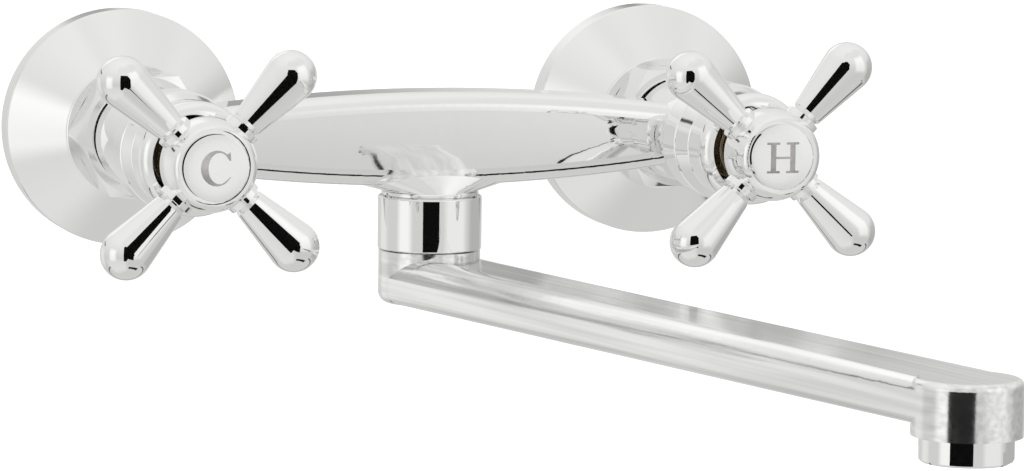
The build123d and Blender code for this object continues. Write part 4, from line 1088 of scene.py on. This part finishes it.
class FAUCET_OT_studio(Operator):
    """Set up the pale floor, the soft light and the camera"""

    bl_idname = "faucet.studio"
    bl_label = "Set Up the Studio"

    def execute(self, context):
        """Floor first, then light and camera."""
        settings = context.scene.faucet.studio
        self.floor(settings)
        self.cards()
        self.dome(context.scene)
        self.fill(settings)
        self.camera(context.scene, settings)
        context.scene.view_settings.view_transform = "Standard"
        return {"FINISHED"}

    @staticmethod
    def floor(settings):
        """Plain pale floor that fills the picture behind the faucet."""
        half, level = settings.floor_width / 2, settings.floor_level
        corners = [(-half, -half, level), (half, -half, level), (half, half, level), (-half, half, level)]
        mesh = bpy.data.meshes.new("studio_floor")
        mesh.from_pydata(corners, [], [(0, 1, 2, 3)])
        floor = bpy.data.objects.new("studio_floor", mesh)
        bpy.context.scene.collection.objects.link(floor)
        pale = Finish("Pale Floor", settings.floor_color, 0.7)
        grain = pale.surface(tree_effect(moulded_grain), pale.place, "Grain Scale", 60.0)
        pale.vary_roughness(grain["Tone"], 0.65, 0.85)
        pale.coat([floor])
        floor.visible_glossy = False

    @classmethod
    def cards(cls):
        """Cards that the handles and the spout's head mirror black, and a white disc before each cap."""
        cls.card("upper_card", UPPER_CARD, CARD_DEPTH, CARD_GLOW, ("handle",))
        cls.card("lower_card", LOWER_CARD, CARD_DEPTH, CARD_GLOW, ("handle", "spout", "aerator"))
        for side in SIDES:
            low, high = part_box(f"index_cap_{side}")
            middle = (low + high) / 2 + CAP_CARD_SHIFT
            radius = (high.x - low.x) * 0.56
            disc = [(middle.x + x, middle.z + z) for x, z in ellipse_arc(0, radius, radius, 0, 345, 23)]
            cls.card(f"{side}_white_card", disc, low.y - CAP_CARD_GAP, CAP_CARD_GLOW, ())

    @staticmethod
    def card(name, corners, depth, glow, black_for):
        """Upright card that some pieces mirror black, and the others as bright as it glows."""
        mesh = bpy.data.meshes.new(name)
        mesh.from_pydata([(x, depth, z) for x, z in corners], [], [range(len(corners))])
        card = bpy.data.objects.new(name, mesh)
        bpy.context.scene.collection.objects.link(card)
        paper = Finish(name.replace("_", " ").title(), (0.004, 0.004, 0.004), 0.9)
        grain = paper.surface(tree_effect(moulded_grain), paper.place, "Grain Scale", 400.0)
        paper.vary_roughness(grain["Tone"], 0.85, 1.0)
        paper.shader.inputs["Specular IOR Level"].default_value = 0.0
        paper.shader.inputs["Emission Color"].default_value = (1.0, 1.0, 0.99, 1)
        paper.shader.inputs["Emission Strength"].default_value = glow
        paper.coat([card])
        lit = bpy.data.collections.new(f"{name}_lights")
        for piece in bpy.context.scene.objects:
            if piece is not card and not piece.name.startswith(black_for):
                lit.objects.link(piece)
        card.light_linking.receiver_collection = lit
        card.visible_camera = False
        card.visible_diffuse = False
        card.visible_shadow = False

    @staticmethod
    def dome(scene):
        """Light tent round the faucet: graded white cloth, brighter and darker panels."""
        world = bpy.data.worlds.new("Light Tent")
        world.use_nodes = True
        scene.world = world
        tree = world.node_tree
        backdrop = tree.nodes["Background"]
        direction = node(tree, "ShaderNodeSeparateXYZ")
        join(tree, node(tree, "ShaderNodeTexCoord").outputs["Generated"], direction.inputs[0])
        depth = arithmetic(tree, "MULTIPLY", direction.outputs["Y"], -1.0)
        azimuth = arithmetic(tree, "DEGREES", arithmetic(tree, "ARCTAN2", direction.outputs["X"], depth))
        height = arithmetic(tree, "DEGREES", arithmetic(tree, "ARCSINE", direction.outputs["Z"]))
        ramp = node(tree, "ShaderNodeValToRGB")
        elements = ramp.color_ramp.elements
        while len(elements) < len(DOME_TONES):
            elements.new(0.5)
        for element, (degrees, tone) in zip(elements, DOME_TONES):
            element.position = (degrees + 90) / 180
            element.color = (tone, tone, tone, 1)
        join(tree, arithmetic(tree, "MULTIPLY_ADD", height, 1 / 180, 0.5), ramp.inputs["Fac"])
        bright = ramp.outputs["Color"]
        patch = tree_effect(studio_patch)
        for *sizes, change in SOFT_BOXES:
            panel = node(tree, "ShaderNodeGroup", node_tree=patch)
            for label, size in zip(PANEL_SIZES, sizes):
                panel.inputs[label].default_value = size
            join(tree, azimuth, panel.inputs["Azimuth"])
            join(tree, height, panel.inputs["Height"])
            bright = arithmetic(tree, "MULTIPLY_ADD", panel.outputs["Mask"], change, bright)
        join(tree, arithmetic(tree, "MAXIMUM", bright, 0.002), backdrop.inputs["Strength"])
        backdrop.inputs["Color"].default_value = (1.0, 1.0, 0.99, 1)

    @staticmethod
    def fill(settings):
        """Broad overhead fill for the floor and the dull surfaces, which the chrome doesn't mirror."""
        lamp = bpy.data.lights.new("overhead_fill", "SUN")
        lamp.energy = settings.fill_strength
        lamp.angle = math.radians(120)
        fill = bpy.data.objects.new("overhead_fill", lamp)
        fill.visible_glossy = False
        bpy.context.scene.collection.objects.link(fill)

    @staticmethod
    def camera(scene, settings):
        """Camera where the photographer stood."""
        lens = bpy.data.cameras.new("photo_camera")
        lens.lens = settings.focal_length
        lens.sensor_width = 36
        lens.clip_end = 1000
        camera = bpy.data.objects.new("photo_camera", lens)
        scene.collection.objects.link(camera)
        place = Vector(settings.camera_place)
        sight = Vector(settings.camera_target) - place
        camera.location = place
        camera.rotation_mode = "QUATERNION"
        roll = Quaternion((0, 0, 1), settings.camera_roll)
        camera.rotation_quaternion = sight.to_track_quat("-Z", "Y") @ roll
        scene.camera = camera


class FAUCET_PT_sidebar(Panel):
    """Settings and steps of the faucet"""

    bl_idname = "FAUCET_PT_sidebar"
    bl_label = "Wall Faucet"
    bl_space_type = "VIEW_3D"
    bl_region_type = "UI"
    bl_category = "Faucet"

    def draw(self, context):
        """List each group of settings above the steps that use it."""
        faucet = context.scene.faucet
        for title, settings, operators in (
            ("Finishes", faucet.finish, FINISH_STEPS),
            ("Wall Unions", faucet.union, (FAUCET_OT_unions,)),
            ("Cap Marks", faucet.mark, (FAUCET_OT_marks,)),
            ("Outlet Screen", faucet.screen, (FAUCET_OT_screen,)),
            ("Studio", faucet.studio, (FAUCET_OT_studio,)),
        ):
            box = self.layout.box()
            box.label(text=title)
            for name in settings.bl_rna.properties.keys():
                if name not in ("rna_type", "name"):
                    box.prop(settings, name)
            for operator in operators:
                box.operator(operator.bl_idname)


FINISH_STEPS = (FAUCET_OT_chrome, FAUCET_OT_brass, FAUCET_OT_seals, FAUCET_OT_small_parts)
STEPS = (*FINISH_STEPS, FAUCET_OT_unions, FAUCET_OT_marks, FAUCET_OT_screen, FAUCET_OT_studio)
SETTINGS = (FinishSettings, UnionSettings, MarkSettings, ScreenSettings, StudioSettings, FaucetSettings)
CLASSES = (*SETTINGS, *STEPS, FAUCET_PT_sidebar)


def register():
    """Add the classes and the scene's settings."""
    for made in CLASSES:
        bpy.utils.register_class(made)
    bpy.types.Scene.faucet = PointerProperty(type=FaucetSettings)


def unregister():
    """Take the classes and the scene's settings away."""
    del bpy.types.Scene.faucet
    for made in reversed(CLASSES):
        bpy.utils.unregister_class(made)


def main():
    """Register the classes, then run every step in order."""
    register()
    bpy.ops.faucet.chrome()
    bpy.ops.faucet.brass()
    bpy.ops.faucet.seals()
    bpy.ops.faucet.small_parts()
    bpy.ops.faucet.unions()
    bpy.ops.faucet.marks()
    bpy.ops.faucet.screen()
    bpy.ops.faucet.studio()


if __name__ == "__main__":
    main()
